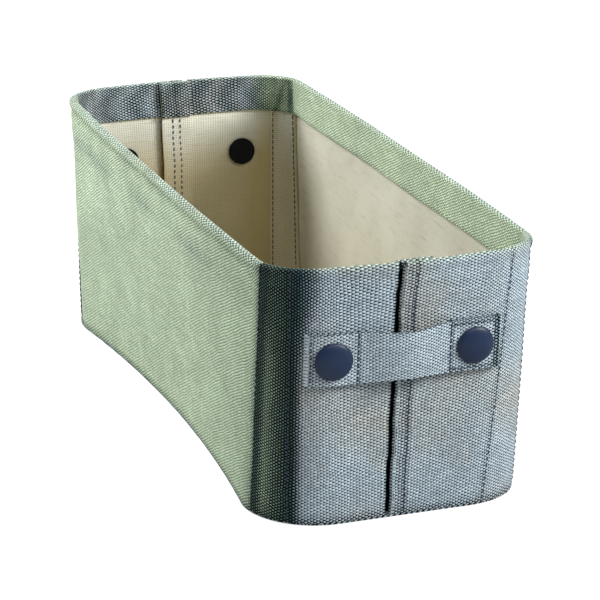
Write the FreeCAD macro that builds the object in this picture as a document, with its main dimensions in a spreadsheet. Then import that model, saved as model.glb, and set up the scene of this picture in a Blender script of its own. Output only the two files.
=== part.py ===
import FreeCAD, Part
import math
import os

import Sketcher
from FreeCAD import Placement, Rotation, Vector

# A long soft storage bin of coated canvas. Two side panels and two lapped end panels stand on
# a base panel, every rim edge is folded inside as a hem, and each end has a riveted strap handle.
# The origin is the middle of the base on the floor. X is the width, Y the length and Z is up.
# The front end faces -Y. The rear half is the front half turned half a turn about Z.

SIZES = [
    ("rim_length", 390, "length over the rim"),
    ("rim_width", 152, "width over the rim at the corners"),
    ("base_length", 377, "length over the base"),
    ("base_width", 151, "width over the base at the corners"),
    ("bin_height", 143, "floor to the top of the rim fold"),
    ("rim_corner", 33, "radius of the rounded corners at the rim"),
    ("base_corner", 40, "radius of the rounded corners at the base"),
    ("rim_side_bow", 2.5, "how far the long rim bows out at its middle"),
    ("base_side_draw", 9.5, "how far the long base edge draws in at its middle"),
    ("near_seam_turn", 14, "degrees round a corner to the seam nearer the handle"),
    ("far_seam_turn", 29, "degrees round a corner to the seam further from the handle"),
    ("canvas_thick", 1.0, "woven canvas face"),
    ("backing_thick", 0.6, "coated backing bonded inside the canvas"),
    ("bond_gap", 0.1, "clearance between a canvas and its backing"),
    ("ply_gap", 0.1, "clearance between two layers of cloth"),
    ("hem_depth", 22, "rim hem folded down inside"),
    ("end_shift", 4, "middle of the handle to the middle of the end"),
    ("lap_edge", 3, "folded lap edge beyond the middle of the handle"),
    ("lap_width", 17.5, "overlap of the two halves of an end"),
    ("turn_under", 12, "edge of the outer half folded back inside the lap"),
    ("joggle_run", 4, "length over which the inner half steps inwards"),
    ("lap_clear", 0.4, "clearance between the step and the folded edge"),
    ("seam_allowance", 20, "side panel edge pressed onto the end panel at a corner"),
    ("hem_clear", 0.4, "clearance under the hem"),
    ("strap_level", 94, "height of the rivets above the floor"),
    ("rivet_spacing", 78, "distance between the two rivets of a handle"),
    ("tab_end", 14, "rivet to the folded end of the strap"),
    ("tab_inner", 13.3, "rivet to the cross stitching"),
    ("tab_height", 28.5, "strap height at its folded ends"),
    ("grip_height", 26, "strap height between the cross stitching"),
    ("strap_thick", 1.6, "one layer of the strap"),
    ("grip_bow", 6, "how far the middle of the strap stands out"),
    ("grip_clear", 0.35, "clearance at each end of the free middle"),
    ("cap_diameter", 20.5, "outer rivet cap"),
    ("cap_rim", 1.1, "height of the cap's edge"),
    ("cap_dome", 1.3, "rise of the cap's dome above its edge"),
    ("cap_bevel", 0.5, "bevelled edge of the cap"),
    ("cap_seat", 0.1, "clearance between the cap and the strap"),
    ("post_diameter", 5, "rivet post"),
    ("post_clear", 0.15, "clearance round the post"),
    ("disc_diameter", 17, "inner rivet disc"),
    ("disc_thick", 1.6, "thickness of the inner disc"),
    ("disc_bevel", 0.4, "bevelled edge of the inner disc"),
    ("disc_clear", 0.2, "clearance between the disc and the backing"),
]

RIGHT_ANGLE = 90.0
HALF_TURN = 180.0
FULL_TURN = 360.0
EDGE_MATCH = 1e-6

doc = FreeCAD.newDocument("storage_bin")
sheet = doc.addObject("Spreadsheet::Sheet", "sizes")
for row, (alias, value, meaning) in enumerate(SIZES, start=1):
    sheet.set(f"A{row}", alias)
    sheet.set(f"B{row}", str(value))
    sheet.set(f"C{row}", meaning)
    sheet.setAlias(f"B{row}", alias)
doc.recompute()


def measure(expression):
    """The value of an expression written with the sheet's names."""
    value = sheet.evalExpression(expression)
    return float(getattr(value, "Value", value))


def size(alias):
    """One driving size."""
    return measure(f"sizes.{alias}")


# Levels through the wall, counted inwards from its outer face.
CANVAS = size("canvas_thick")
BACKING = CANVAS + size("bond_gap")
CLOTH = BACKING + size("backing_thick")
HEM_BACKING = CLOTH + size("ply_gap")
HEM_BACKING_END = HEM_BACKING + size("backing_thick")
HEM_CANVAS = HEM_BACKING_END + size("bond_gap")
HEM = HEM_CANVAS + size("canvas_thick")
STEP = HEM + size("ply_gap")

# Heights of the layers of the floor and of the rim.
WALL_FOOT = size("canvas_thick") + size("bond_gap")
INNER_FOOT = WALL_FOOT + size("backing_thick") + size("ply_gap")
RIM = size("bin_height")
FOLD_RISE = 1.6
FOLD_FOOT = RIM - FOLD_RISE * size("canvas_thick")
BACKING_TOP = FOLD_FOOT - size("bond_gap")
BACKING_FOLD_FOOT = BACKING_TOP - size("backing_thick")
HEM_FOOT = RIM - size("hem_depth")
UNDER_HEM = HEM_FOOT - size("hem_clear")

# The most that a corner's radius changes within one band of a wall.
BAND_CHANGE = 1.75

# The rounding of the rim fold, as shares of the canvas: at half its height and at its crown.
SHOULDER = 0.4 * size("canvas_thick")
CROWN = 1.2 * size("canvas_thick")

# The lap: the folded edge of the outer half, and the step and tongue of the inner half.
LAP_FOLD_X = -(size("end_shift") + size("lap_edge"))
STEP_END_X = LAP_FOLD_X - size("lap_clear")
STEP_START_X = STEP_END_X - size("joggle_run")
TONGUE_X = LAP_FOLD_X + size("lap_width")
TURN_UNDER_X = LAP_FOLD_X + size("turn_under")


def outline_at(height):
    """Half width, half length, corner radius and side bow of the outer face at one height."""
    share = height / size("bin_height")

    def between(at_base, at_rim):
        return at_base + (at_rim - at_base) * share

    return (
        between(size("base_width"), size("rim_width")) / 2,
        between(size("base_length"), size("rim_length")) / 2,
        between(size("base_corner"), size("rim_corner")),
        between(-size("base_side_draw"), size("rim_side_bow")),
    )


def line(start, end):
    return ("line", start, end)


def arc(centre, radius, first, last):
    """An arc given by its centre, its radius and two angles in degrees."""

    def point(angle):
        turn = math.radians(angle)
        return (centre[0] + radius * math.cos(turn), centre[1] + radius * math.sin(turn))

    return ("arc", point(first), point((first + last) / 2), point(last))


def backwards(pieces):
    return [(piece[0],) + piece[:0:-1] for piece in reversed(pieces)]


def side_route(height, level):
    """Left side at one level: a turn of each corner and the bowed stretch between them."""
    half_x, half_y, corner, bow = outline_at(height)
    centre_x = -(half_x - corner)
    centre_y = half_y - corner
    x = -half_x + level
    return [
        arc((centre_x, -centre_y), corner - level, HALF_TURN + size("near_seam_turn"), HALF_TURN),
        ("arc", (x, -centre_y), (x - bow, 0), (x, centre_y)),
        arc((centre_x, centre_y), corner - level, HALF_TURN, HALF_TURN - size("far_seam_turn")),
    ]


def outer_half_route(stop_x):
    """Right half of the front end: the rest of its corner, then straight to stop_x."""

    def route(height, level):
        half_x, half_y, corner, _ = outline_at(height)
        centre = (half_x - corner, -(half_y - corner))
        y = -half_y + level
        return [
            arc(centre, corner - level, -size("far_seam_turn"), -RIGHT_ANGLE),
            line((centre[0], y), (stop_x, y)),
        ]

    return route


def inner_half_route(height, level):
    """Left half of the front end: its corner, the front, the step inwards and the tongue."""
    half_x, half_y, corner, _ = outline_at(height)
    centre = (-(half_x - corner), -(half_y - corner))
    y = -half_y + level
    tongue_y = y + STEP
    return [
        arc(centre, corner - level, HALF_TURN + size("near_seam_turn"), HALF_TURN + RIGHT_ANGLE),
        line((centre[0], y), (STEP_START_X, y)),
        line((STEP_START_X, y), (STEP_END_X, tongue_y)),
        line((STEP_END_X, tongue_y), (TONGUE_X, tongue_y)),
    ]


def straight_route(start_x, stop_x):
    """A straight stretch along the front end."""

    def route(height, level):
        y = -outline_at(height)[1] + level
        return [line((start_x, y), (stop_x, y))]

    return route


def near_allowance_route(height, level):
    """Seam allowance in the front left corner, from the seam along the end panel."""
    half_x, half_y, corner, _ = outline_at(height)
    centre = (-(half_x - corner), -(half_y - corner))
    first = HALF_TURN + size("near_seam_turn")
    return [arc(centre, corner - level, first, first + math.degrees(size("seam_allowance") / corner))]


def far_allowance_route(height, level):
    """Seam allowance in the front right corner, from the seam along the end panel."""
    half_x, half_y, corner, _ = outline_at(height)
    centre = (half_x - corner, -(half_y - corner))
    first = -size("far_seam_turn")
    return [arc(centre, corner - level, first, first - math.degrees(size("seam_allowance") / corner))]


def cloth_outline(route, height, outer, inner):
    """Closed outline of a strip of cloth between two levels of a route, at one height."""

    def at(point):
        return Vector(point[0], point[1], height)

    there = route(height, outer)
    back = backwards(route(height, inner))
    loop = there + [line(there[-1][-1], back[0][1])] + back + [line(back[-1][-1], there[0][1])]
    edges = []
    for piece in loop:
        if piece[0] == "line":
            edges.append(Part.makeLine(at(piece[1]), at(piece[2])))
        else:
            edges.append(Part.Arc(at(piece[1]), at(piece[2]), at(piece[3])).toShape())
    return Part.Wire(edges)


def cloth_strip(route, *stations):
    """Solid of a strip, ruled between stations of height, outer level and inner level."""
    return Part.makeLoft([cloth_outline(route, *station) for station in stations], True, True)


def level_strip(route, foot, top, outer, inner, stops=()):
    """A strip that keeps its levels, in bands over which the corner's radius changes little.

    Stops are heights that a band has to end at, as round a hole.
    """
    marks = [foot, *stops, top]
    heights = [foot]
    for low, high in zip(marks, marks[1:]):
        change = abs(outline_at(high)[2] - outline_at(low)[2])
        bands = max(1, math.ceil(change / BAND_CHANGE))
        heights += [low + (high - low) * band / bands for band in range(1, bands + 1)]
    return cloth_strip(route, *((height, outer, inner) for height in heights))


def hooked_canvas(route, stops=()):
    """Canvas that goes up the outside, over the rim and down inside as the hem."""
    wall = level_strip(route, WALL_FOOT, FOLD_FOOT, 0, CANVAS, stops)
    hem = level_strip(route, HEM_FOOT, FOLD_FOOT, HEM_CANVAS, HEM)
    fold = cloth_strip(
        route,
        (FOLD_FOOT, 0, HEM),
        ((FOLD_FOOT + RIM) / 2, SHOULDER, HEM - SHOULDER),
        (RIM, CROWN, HEM - CROWN),
    )
    return wall.fuse([hem, fold])


def hooked_backing(route, stops=()):
    """Backing inside the canvas: up the wall, over, and down as far as the hem goes."""
    wall = level_strip(route, WALL_FOOT, BACKING_FOLD_FOOT, BACKING, CLOTH, stops)
    hem = level_strip(route, HEM_FOOT, BACKING_FOLD_FOOT, HEM_BACKING, HEM_BACKING_END)
    fold = level_strip(route, BACKING_FOLD_FOOT, BACKING_TOP, BACKING, HEM_BACKING_END)
    return wall.fuse([hem, fold])


def lap_fold(start_x, thick, outer, behind, inner, top):
    """The outer half's free edge: the fold, and the layer that goes back behind the panel."""
    edge = level_strip(straight_route(start_x, start_x + thick), INNER_FOOT, top, outer, inner)
    under = level_strip(straight_route(start_x, TURN_UNDER_X), INNER_FOOT, UNDER_HEM, behind, inner)
    return edge.fuse(under)


def below_tongue():
    """A block that takes the foot off the inner half's tongue, so that it clears the floor."""
    half_x, half_y, _, _ = outline_at(INNER_FOOT)
    depth = CLOTH + size("bond_gap") / 2
    return Part.makeBox(half_x, half_y, INNER_FOOT, Vector(STEP_START_X, depth - half_y, 0))


# Rivets and straps are made in a frame on the wall: X along the end, -Y outwards, Z up the wall.
SHARE = "sizes.strap_level / sizes.bin_height"
WALL_Y = f"(sizes.base_length + (sizes.rim_length - sizes.base_length) * {SHARE}) / 2"
WALL_X = f"(sizes.base_width + (sizes.rim_width - sizes.base_width) * {SHARE}) / 2"
CORNER = f"(sizes.base_corner + (sizes.rim_corner - sizes.base_corner) * {SHARE})"
LEAN = "atan((sizes.rim_length - sizes.base_length) / 2 / sizes.bin_height)"
NEAR_X = "(sizes.end_shift + sizes.rivet_spacing / 2)"
FAR_X = "(sizes.rivet_spacing / 2 - sizes.end_shift)"
NEAR_TURN = f"asin(max(0; {NEAR_X} - {WALL_X} + {CORNER}) / {CORNER})"
NEAR_DROP = f"{CORNER} * (1 - cos({NEAR_TURN}))"
ON_WALL = f"rotation(vector(1; 0; 0); {LEAN})"
HALF_ROUND = "placement(vector(0; 0; 0); rotation(vector(0; 0; 1); 180))"
FRAMES = {
    "near": f"placement(vector(-{NEAR_X}; {NEAR_DROP} - {WALL_Y}; sizes.strap_level); {ON_WALL})"
    f" * placement(vector(0; 0; 0); rotation(vector(0; 0; 1); -{NEAR_TURN}))",
    "far": f"placement(vector({FAR_X}; -{WALL_Y}; sizes.strap_level); {ON_WALL})",
    "middle": f"placement(vector(-sizes.end_shift; -{WALL_Y}; sizes.strap_level); {ON_WALL})",
}

# Distances from the wall's outer face: outwards to the strap and cap, inwards to the disc.
CLOTH_DEEP = "(sizes.canvas_thick + sizes.bond_gap + sizes.backing_thick)"
TOP_PLY = "(2 * sizes.ply_gap + sizes.strap_thick)"
CAP_SEAT = f"({TOP_PLY} + sizes.strap_thick + sizes.cap_seat)"
DISC_REACH = {
    "near": "(sizes.disc_diameter / 2)",
    "far": f"max(0; {FAR_X} + sizes.disc_diameter / 2 - {WALL_X} + {CORNER})",
}


def frame_at(end, place):
    """A frame on the front end, or the same frame turned half round to the rear end."""
    return FRAMES[place] if end == "front" else f"{HALF_ROUND} * {FRAMES[place]}"


def disc_seat(place):
    """Depth of the disc's seat, where its rim just clears the rounded inside of the corner."""
    rise = f"{DISC_REACH[place]} ^ 2 / (2 * ({CORNER} - {CLOTH_DEEP}))"
    return f"({CLOTH_DEEP} + {rise} + sizes.disc_clear)"


def post_hole(place):
    """A hole through the wall round one rivet post."""
    reach = size("tab_height")
    radius = size("post_diameter") / 2 + size("post_clear")
    cutter = Part.makeCylinder(radius, 2 * reach, Vector(0, -reach, 0), Vector(0, 1, 0))
    cutter.Placement = sheet.evalExpression(FRAMES[place])
    return cutter


def cloth_forms():
    """Every cloth form of the front half, under its own name and its name at the rear half."""
    near_hole = post_hole("near")
    far_hole = post_hole("far")
    hole_reach = size("post_diameter") / 2 + 1
    hole_stops = (size("strap_level") - hole_reach, size("strap_level") + hole_reach)
    edge_x = LAP_FOLD_X + BACKING
    edge_end = size("backing_thick")
    outer_canvas = hooked_canvas(outer_half_route(LAP_FOLD_X)).fuse(
        lap_fold(LAP_FOLD_X, CANVAS, 0, HEM_CANVAS, HEM, FOLD_FOOT)
    )
    outer_backing = hooked_backing(outer_half_route(edge_x)).fuse(
        lap_fold(edge_x, edge_end, BACKING, HEM_BACKING, HEM_BACKING_END, BACKING_FOLD_FOOT)
    )
    inner_cuts = [near_hole, below_tongue()]
    near_allowance = level_strip(near_allowance_route, INNER_FOOT, UNDER_HEM, HEM_BACKING, HEM)
    far_allowance = level_strip(far_allowance_route, INNER_FOOT, UNDER_HEM, HEM_BACKING, HEM)
    return [
        ("left_side_canvas", "right_side_canvas", hooked_canvas(side_route)),
        ("left_side_backing", "right_side_backing", hooked_backing(side_route)),
        ("front_outer_half_canvas", "rear_outer_half_canvas", outer_canvas.cut(far_hole)),
        ("front_outer_half_backing", "rear_outer_half_backing", outer_backing.cut(far_hole)),
        (
            "front_inner_half_canvas",
            "rear_inner_half_canvas",
            hooked_canvas(inner_half_route, hole_stops).cut(inner_cuts),
        ),
        (
            "front_inner_half_backing",
            "rear_inner_half_backing",
            hooked_backing(inner_half_route, hole_stops).cut(inner_cuts),
        ),
        ("front_left_seam_allowance", "rear_right_seam_allowance", near_allowance),
        ("front_right_seam_allowance", "rear_left_seam_allowance", far_allowance),
    ]


def add_cloth(label, solid, turn):
    """One cloth piece, on the front half or turned to the rear half."""
    piece = doc.addObject("Part::Feature", label)
    piece.Shape = solid.removeSplitter()
    piece.Placement = Placement(Vector(0, 0, 0), Rotation(Vector(0, 0, 1), turn))
    return piece


def new_body(label, frame=None):
    body = doc.addObject("PartDesign::Body", label)
    if frame:
        body.setExpression("Placement", frame)
    return body


def new_sketch(body, name, role):
    """An empty sketch on one of the body's own origin planes."""
    sketch = body.newObject("Sketcher::SketchObject", f"{body.Name}_{name}")
    plane = [item for item in body.Origin.OriginFeatures if item.Role == role][0]
    sketch.AttachmentSupport = [(plane, "")]
    sketch.MapMode = "FlatFace"
    return sketch


def bound(sketch, expression, kind, *where):
    """One constraint whose value is an expression."""
    index = sketch.addConstraint(Sketcher.Constraint(kind, *where, measure(expression)))
    sketch.setExpression(f"Constraints[{index}]", expression)


def draw(sketch, corners, through=None, closed=True):
    """Edges through corners given as pairs of expressions, each corner pinned to its place.

    The edge after a corner is a straight line, or an arc through the point given for it.
    """
    through = through or {}
    points = [Vector(measure(x), measure(y), 0) for x, y in corners]
    count = len(points) if closed else len(points) - 1
    ends = []
    for index in range(count):
        start = points[index]
        stop = points[(index + 1) % len(points)]
        if index not in through:
            ends.append((sketch.addGeometry(Part.LineSegment(start, stop)), 1, 2))
            continue
        middle = Vector(*(measure(value) for value in through[index]), 0)
        edge = sketch.addGeometry(Part.Arc(start, middle, stop))
        forwards = sketch.getPoint(edge, 1).distanceToPoint(start) < start.distanceToPoint(stop) / 2
        ends.append((edge, 1, 2) if forwards else (edge, 2, 1))
    for index, (edge, first, last) in enumerate(ends):
        pin(sketch, edge, first, corners[index])
        if index in through:
            middle = Vector(*(measure(value) for value in through[index]), 0)
            mark = sketch.addGeometry(Part.Point(middle), True)
            pin(sketch, mark, 1, through[index])
            sketch.addConstraint(Sketcher.Constraint("PointOnObject", mark, 1, edge))
        if closed or index + 1 < count:
            after, after_first, _ = ends[(index + 1) % count]
            sketch.addConstraint(Sketcher.Constraint("Coincident", edge, last, after, after_first))
        else:
            pin(sketch, edge, last, corners[-1])


def pin(sketch, edge, point, place):
    """Fix one point of a sketch at a pair of expressions."""
    bound(sketch, place[0], "DistanceX", -1, 1, edge, point)
    bound(sketch, place[1], "DistanceY", -1, 1, edge, point)


def padded(body, sketch, length, symmetric=False):
    """The sketch raised to a length, to one side or to both sides of its plane."""
    pad = body.newObject("PartDesign::Pad", f"{body.Name}_pad")
    pad.Profile = sketch
    if symmetric:
        pad.SideType = "Symmetric"
    pad.setExpression("Length", length)
    doc.recompute()
    return pad


def turned(body, name, corners, through=None, kind="PartDesign::Revolution"):
    """A profile turned all the way round the frame's Y axis."""
    sketch = new_sketch(body, name, "XY_Plane")
    draw(sketch, corners, through)
    feature = body.newObject(kind, f"{body.Name}_{name}_turned")
    feature.Profile = sketch
    feature.ReferenceAxis = (sketch, ["V_Axis"])
    feature.Angle = FULL_TURN
    doc.recompute()
    return feature


def bevelled_rim(body, base, radius, height, amount):
    """Bevel the circular edge of a turned piece that has this radius and lies at this height."""
    names = []
    for index, edge in enumerate(base.Shape.Edges, start=1):
        if edge.Degenerated or not isinstance(edge.Curve, Part.Circle):
            continue
        ring = edge.Curve
        same_radius = math.isclose(ring.Radius, measure(radius), rel_tol=EDGE_MATCH)
        if same_radius and math.isclose(ring.Center.y, measure(height), rel_tol=EDGE_MATCH):
            names.append(f"Edge{index}")
    bevel = body.newObject("PartDesign::Chamfer", f"{body.Name}_bevel")
    bevel.Base = (base, names)
    bevel.setExpression("Size", amount)
    return bevel


def base_panel(label, inset, foot, thick):
    """A layer of the base, inside the outline of the wall's foot by an inset."""
    body = new_body(label, f"placement(vector(0; 0; {foot}); rotation(vector(0; 0; 1); 0))")
    x = f"(sizes.base_width / 2 - {inset})"
    y = f"(sizes.base_length / 2 - {inset})"
    centre_x = "(sizes.base_width / 2 - sizes.base_corner)"
    centre_y = "(sizes.base_length / 2 - sizes.base_corner)"
    slant = f"((sizes.base_corner - {inset}) / sqrt(2))"
    waist = f"({x} - sizes.base_side_draw)"
    corners = [
        (f"-{centre_x}", f"-{y}"),
        (centre_x, f"-{y}"),
        (x, f"-{centre_y}"),
        (x, centre_y),
        (centre_x, y),
        (f"-{centre_x}", y),
        (f"-{x}", centre_y),
        (f"-{x}", f"-{centre_y}"),
    ]
    through = {
        1: (f"{centre_x} + {slant}", f"-({centre_y} + {slant})"),
        2: (waist, "0"),
        3: (f"{centre_x} + {slant}", f"{centre_y} + {slant}"),
        5: (f"-({centre_x} + {slant})", f"{centre_y} + {slant}"),
        6: (f"-{waist}", "0"),
        7: (f"-({centre_x} + {slant})", f"-({centre_y} + {slant})"),
    }
    outline = new_sketch(body, "outline", "XY_Plane")
    draw(outline, corners, through)
    padded(body, outline, thick)
    return body


def rivet_cap(end, place):
    """Low domed cap with a bevelled edge, outside the strap."""
    body = new_body(f"{end}_{place}_rivet_cap", frame_at(end, place))
    radius = "(sizes.cap_diameter / 2)"
    edge = f"-({CAP_SEAT} + sizes.cap_rim)"
    crown = f"-({CAP_SEAT} + sizes.cap_rim + sizes.cap_dome)"
    sphere = f"(({radius} ^ 2 + sizes.cap_dome ^ 2) / (2 * sizes.cap_dome))"
    shoulder = f"({crown} + {sphere} - sqrt({sphere} ^ 2 - ({radius} / 2) ^ 2))"
    corners = [("0", f"-{CAP_SEAT}"), ("0", crown), (radius, edge), (radius, f"-{CAP_SEAT}")]
    cap = turned(body, "profile", corners, {1: (f"{radius} / 2", shoulder)})
    bevelled_rim(body, cap, radius, edge, "sizes.cap_bevel")
    return body


def rivet_post(end, place):
    """Post between the cap and the disc, through the strap and the wall."""
    body = new_body(f"{end}_{place}_rivet_post", frame_at(end, place))
    radius = "(sizes.post_diameter / 2)"
    seat = disc_seat(place)
    corners = [("0", f"-{CAP_SEAT}"), (radius, f"-{CAP_SEAT}"), (radius, seat), ("0", seat)]
    turned(body, "profile", corners)
    return body


def rivet_disc(end, place):
    """Flat disc with a bevelled edge, inside the bin."""
    body = new_body(f"{end}_{place}_rivet_disc", frame_at(end, place))
    radius = "(sizes.disc_diameter / 2)"
    seat = disc_seat(place)
    face = f"({seat} + sizes.disc_thick)"
    disc = turned(body, "profile", [("0", seat), (radius, seat), (radius, face), ("0", face)])
    bevelled_rim(body, disc, radius, face, "sizes.disc_bevel")
    return body


def strap_tab(label, end, place):
    """Riveted end of a strap: its outer layer turns back under itself, with a post hole."""
    body = new_body(label, frame_at(end, place))
    to_end, to_middle = ("-", "") if place == "near" else ("", "-")
    inner = f"{to_middle}sizes.tab_inner"
    fold = f"{to_end}(sizes.tab_end - sizes.strap_thick - sizes.ply_gap / 2)"
    under = "-(sizes.ply_gap + sizes.strap_thick)"
    face = f"-({TOP_PLY} + sizes.strap_thick)"
    middle = "-(1.5 * sizes.ply_gap + sizes.strap_thick)"
    corners = [
        (inner, "-sizes.ply_gap"),
        (fold, "-sizes.ply_gap"),
        (fold, face),
        (inner, face),
        (inner, f"-{TOP_PLY}"),
        (fold, f"-{TOP_PLY}"),
        (fold, under),
        (inner, under),
    ]
    through = {
        1: (f"{to_end}sizes.tab_end", middle),
        5: (f"{to_end}(sizes.tab_end - sizes.strap_thick)", middle),
    }
    plan = new_sketch(body, "plan", "XY_Plane")
    draw(plan, corners, through)
    padded(body, plan, "sizes.tab_height", symmetric=True)
    radius = "(sizes.post_diameter / 2 + sizes.post_clear)"
    outside = f"-({TOP_PLY} + 2 * sizes.strap_thick)"
    hole = [("0", "0"), ("0", outside), (radius, outside), (radius, "0")]
    turned(body, "hole", hole, kind="PartDesign::Groove")
    return body


def strap_grip(label, end):
    """Free middle of a strap: it swings out from both tabs in two S-bends."""
    body = new_body(label, frame_at(end, "middle"))
    reach = "(sizes.rivet_spacing / 2 - sizes.tab_inner - sizes.grip_clear)"
    flat = f"({TOP_PLY} + sizes.strap_thick / 2)"
    lifted = f"({flat} + sizes.tab_inner * sin({NEAR_TURN}) - {NEAR_DROP})"
    bowed = f"({flat} + sizes.grip_bow)"

    def s_bend(side, rest):
        """Points on the way from one end of the grip to its middle."""
        rise = f"({bowed} - {rest})"
        radius = f"(({reach} ^ 2 + {rise} ^ 2) / (4 * {rise}))"
        bend = f"atan({rise} / {reach})"
        along = f"({radius} * sin({bend}))"
        across = f"({radius} * (1 - cos({bend})))"
        return [
            (f"{side}{reach}", f"-{rest}"),
            (f"{side}({reach} - {along})", f"-({rest} + {across})"),
            (f"{side}{reach} / 2", f"-({rest} + {bowed}) / 2"),
            (f"{side}{along}", f"-({bowed} - {across})"),
        ]

    near = s_bend("-", lifted)
    far = s_bend("", flat)
    corners = [near[0], near[2], ("0", f"-{bowed}"), far[2], far[0]]
    path = new_sketch(body, "path", "XY_Plane")
    draw(path, corners, {0: near[1], 1: near[3], 2: far[3], 3: far[1]}, closed=False)
    section = new_sketch(body, "section", "YZ_Plane")
    section.setExpression("AttachmentOffset.Base.z", f"-{reach}")
    outside = f"-({lifted} + sizes.strap_thick / 2)"
    inside = f"-({lifted} - sizes.strap_thick / 2)"
    low = "-sizes.grip_height / 2"
    high = "sizes.grip_height / 2"
    draw(section, [(outside, low), (inside, low), (inside, high), (outside, high)])
    pipe = body.newObject("PartDesign::AdditivePipe", f"{label}_pipe")
    pipe.Profile = section
    pipe.Spine = path
    doc.recompute()
    return body


def group(label, members):
    """One node for several alike pieces, each its own solid."""
    compound = doc.addObject("Part::Compound", label)
    compound.Links = members
    return compound


def all_nodes():
    """Every piece of the bin."""
    nodes = []
    for front, rear, solid in cloth_forms():
        nodes.append(add_cloth(front, solid, 0))
        nodes.append(add_cloth(rear, solid, HALF_TURN))
    nodes.append(base_panel("base_canvas", "0", "0", "sizes.canvas_thick"))
    base_inset = f"({CLOTH_DEEP} + sizes.ply_gap)"
    base_foot = "(sizes.canvas_thick + sizes.bond_gap)"
    nodes.append(base_panel("base_backing", base_inset, base_foot, "sizes.backing_thick"))
    for end, near_side, far_side in (("front", "left", "right"), ("rear", "right", "left")):
        nodes.append(strap_tab(f"{end}_strap_{near_side}_tab", end, "near"))
        nodes.append(strap_tab(f"{end}_strap_{far_side}_tab", end, "far"))
        nodes.append(strap_grip(f"{end}_strap_grip", end))
    places = [(end, place) for end in ("front", "rear") for place in ("near", "far")]
    nodes.append(group("rivet_caps", [rivet_cap(*place) for place in places]))
    nodes.append(group("rivet_posts", [rivet_post(*place) for place in places]))
    nodes.append(group("rivet_discs", [rivet_disc(*place) for place in places]))
    return nodes


nodes = all_nodes()
doc.recompute()
for item in doc.Objects:
    if "Invalid" in item.State or "Error" in item.State:
        raise RuntimeError(f"{item.Label} did not rebuild")
os.makedirs("parts", exist_ok=True)
for node in nodes:
    if node.Shape.isNull() or not node.Shape.isValid():
        raise RuntimeError(f"{node.Label} has no sound shape")
    node.Shape.exportStep(f"parts/{node.Label}.step")
    box = node.Shape.BoundBox
    print(f"{node.Label}: {len(node.Shape.Solids)} solids, {node.Shape.Volume:.1f} mm3,", end=" ")
    print(f"{box.XLength:.2f} x {box.YLength:.2f} x {box.ZLength:.2f} mm")
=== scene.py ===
"""A long soft storage bin of coated canvas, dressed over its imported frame.

Every cloth piece is a sheet with its own thickness, worked out as a closed profile carried along
a route round the wall. Routes and profiles are in millimetres, meshes in metres.
"""

import bpy
import numpy as np
from mathutils import Matrix, Vector


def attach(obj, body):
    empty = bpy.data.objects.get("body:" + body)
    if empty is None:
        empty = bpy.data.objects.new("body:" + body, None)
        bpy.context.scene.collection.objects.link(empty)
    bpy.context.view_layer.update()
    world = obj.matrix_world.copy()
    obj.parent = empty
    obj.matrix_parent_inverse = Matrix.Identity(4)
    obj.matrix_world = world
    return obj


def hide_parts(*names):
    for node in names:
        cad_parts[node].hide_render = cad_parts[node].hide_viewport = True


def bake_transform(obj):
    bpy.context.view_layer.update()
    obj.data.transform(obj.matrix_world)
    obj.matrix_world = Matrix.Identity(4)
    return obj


bl_info = {
    "name": "Soft storage bin",
    "version": (1, 0, 0),
    "blender": (4, 5, 0),
    "location": "3D View > Sidebar > Bin",
    "description": "Builds a soft canvas storage bin with riveted strap handles",
    "category": "Add Mesh",
}

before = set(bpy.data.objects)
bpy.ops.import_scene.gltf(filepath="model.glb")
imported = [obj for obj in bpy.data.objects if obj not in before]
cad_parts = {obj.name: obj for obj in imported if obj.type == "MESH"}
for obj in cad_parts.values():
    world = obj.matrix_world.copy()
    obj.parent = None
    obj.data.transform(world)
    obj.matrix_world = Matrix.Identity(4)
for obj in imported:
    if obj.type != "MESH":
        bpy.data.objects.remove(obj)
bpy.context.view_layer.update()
MM = 0.001

# Levels through the wall, counted inwards from its outer face.
CANVAS = 1.0
BACKING = 1.1
CLOTH = 1.7
HEM_BACK = 2.5
HEM = 3.5
STEP = 3.6

# Heights: the top of the rim fold, the feet of the canvas and of its backing, the seam there and
# the hem's lower edge, with the layers that end under it.
RIM = 143.0
FOOT = 1.1
BACKING_FOOT = 1.8
BASE_SEAM = 2.6
HEM_FOOT = 121.0
UNDER_HEM = 120.4
# Above this the profiles have closer points, for the roll of the rim.
ROLL_START = 130.0

# The lap of each end, along the end from its middle.
LAP_FOLD = -7.0
STEP_START = -9.5
STEP_END = -8.7
TONGUE = 10.5
LAP_UNDER = 5.0

# Corner radii in metres, along the width and the length at the rim.
FLOOR_RADIUS = 0.040
RIM_RADIUS_X = 0.034
RIM_RADIUS_Y = 0.027

# Degrees round a corner, from the side towards the end.
NEAR_SEAM = 14.0
FAR_SEAM = 29.0
NEAR_ROW = 49.0
FAR_ROW = 64.0
# The far row of stitches runs this much further round at the floor than at the rim.
ROW_LEAN = 13.0

# How far the front right corner has spread at the floor.
SPREAD_X = 2.6
SPREAD_Y = 2.2

# Handles: the middle of the strap, its rivets and its frame on the leaning wall.
STRAP_SHIFT = -4.0
STRAP_LEVEL = 94.0
STRAP_WIDTH = 28.5
GRIP_WIDTH = 26.0
RIVET_REACH = 39.0
CAP_RADIUS = 10.25
WALL_LEAN = float(np.arctan(6.5 / RIM))
NEAR_TURN = 0.0726

# Levels of the strap: the layer on the wall, the one over it and the outer face of that.
STRAP_UNDER = -0.9
STRAP_OVER = -2.6
STRAP_FACE = -3.45

# How far from the strap's middle its bend out to the grip starts, and where it is complete.
BEND_START = 24.5
BEND_END = 5.0

# Cross rows of stitches on a strap, by their X: nearer its middle, and at its ends.
STRAP_ROWS = (-29.6, 21.5)
STRAP_END_ROWS = (-54.6, 46.2)

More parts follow.
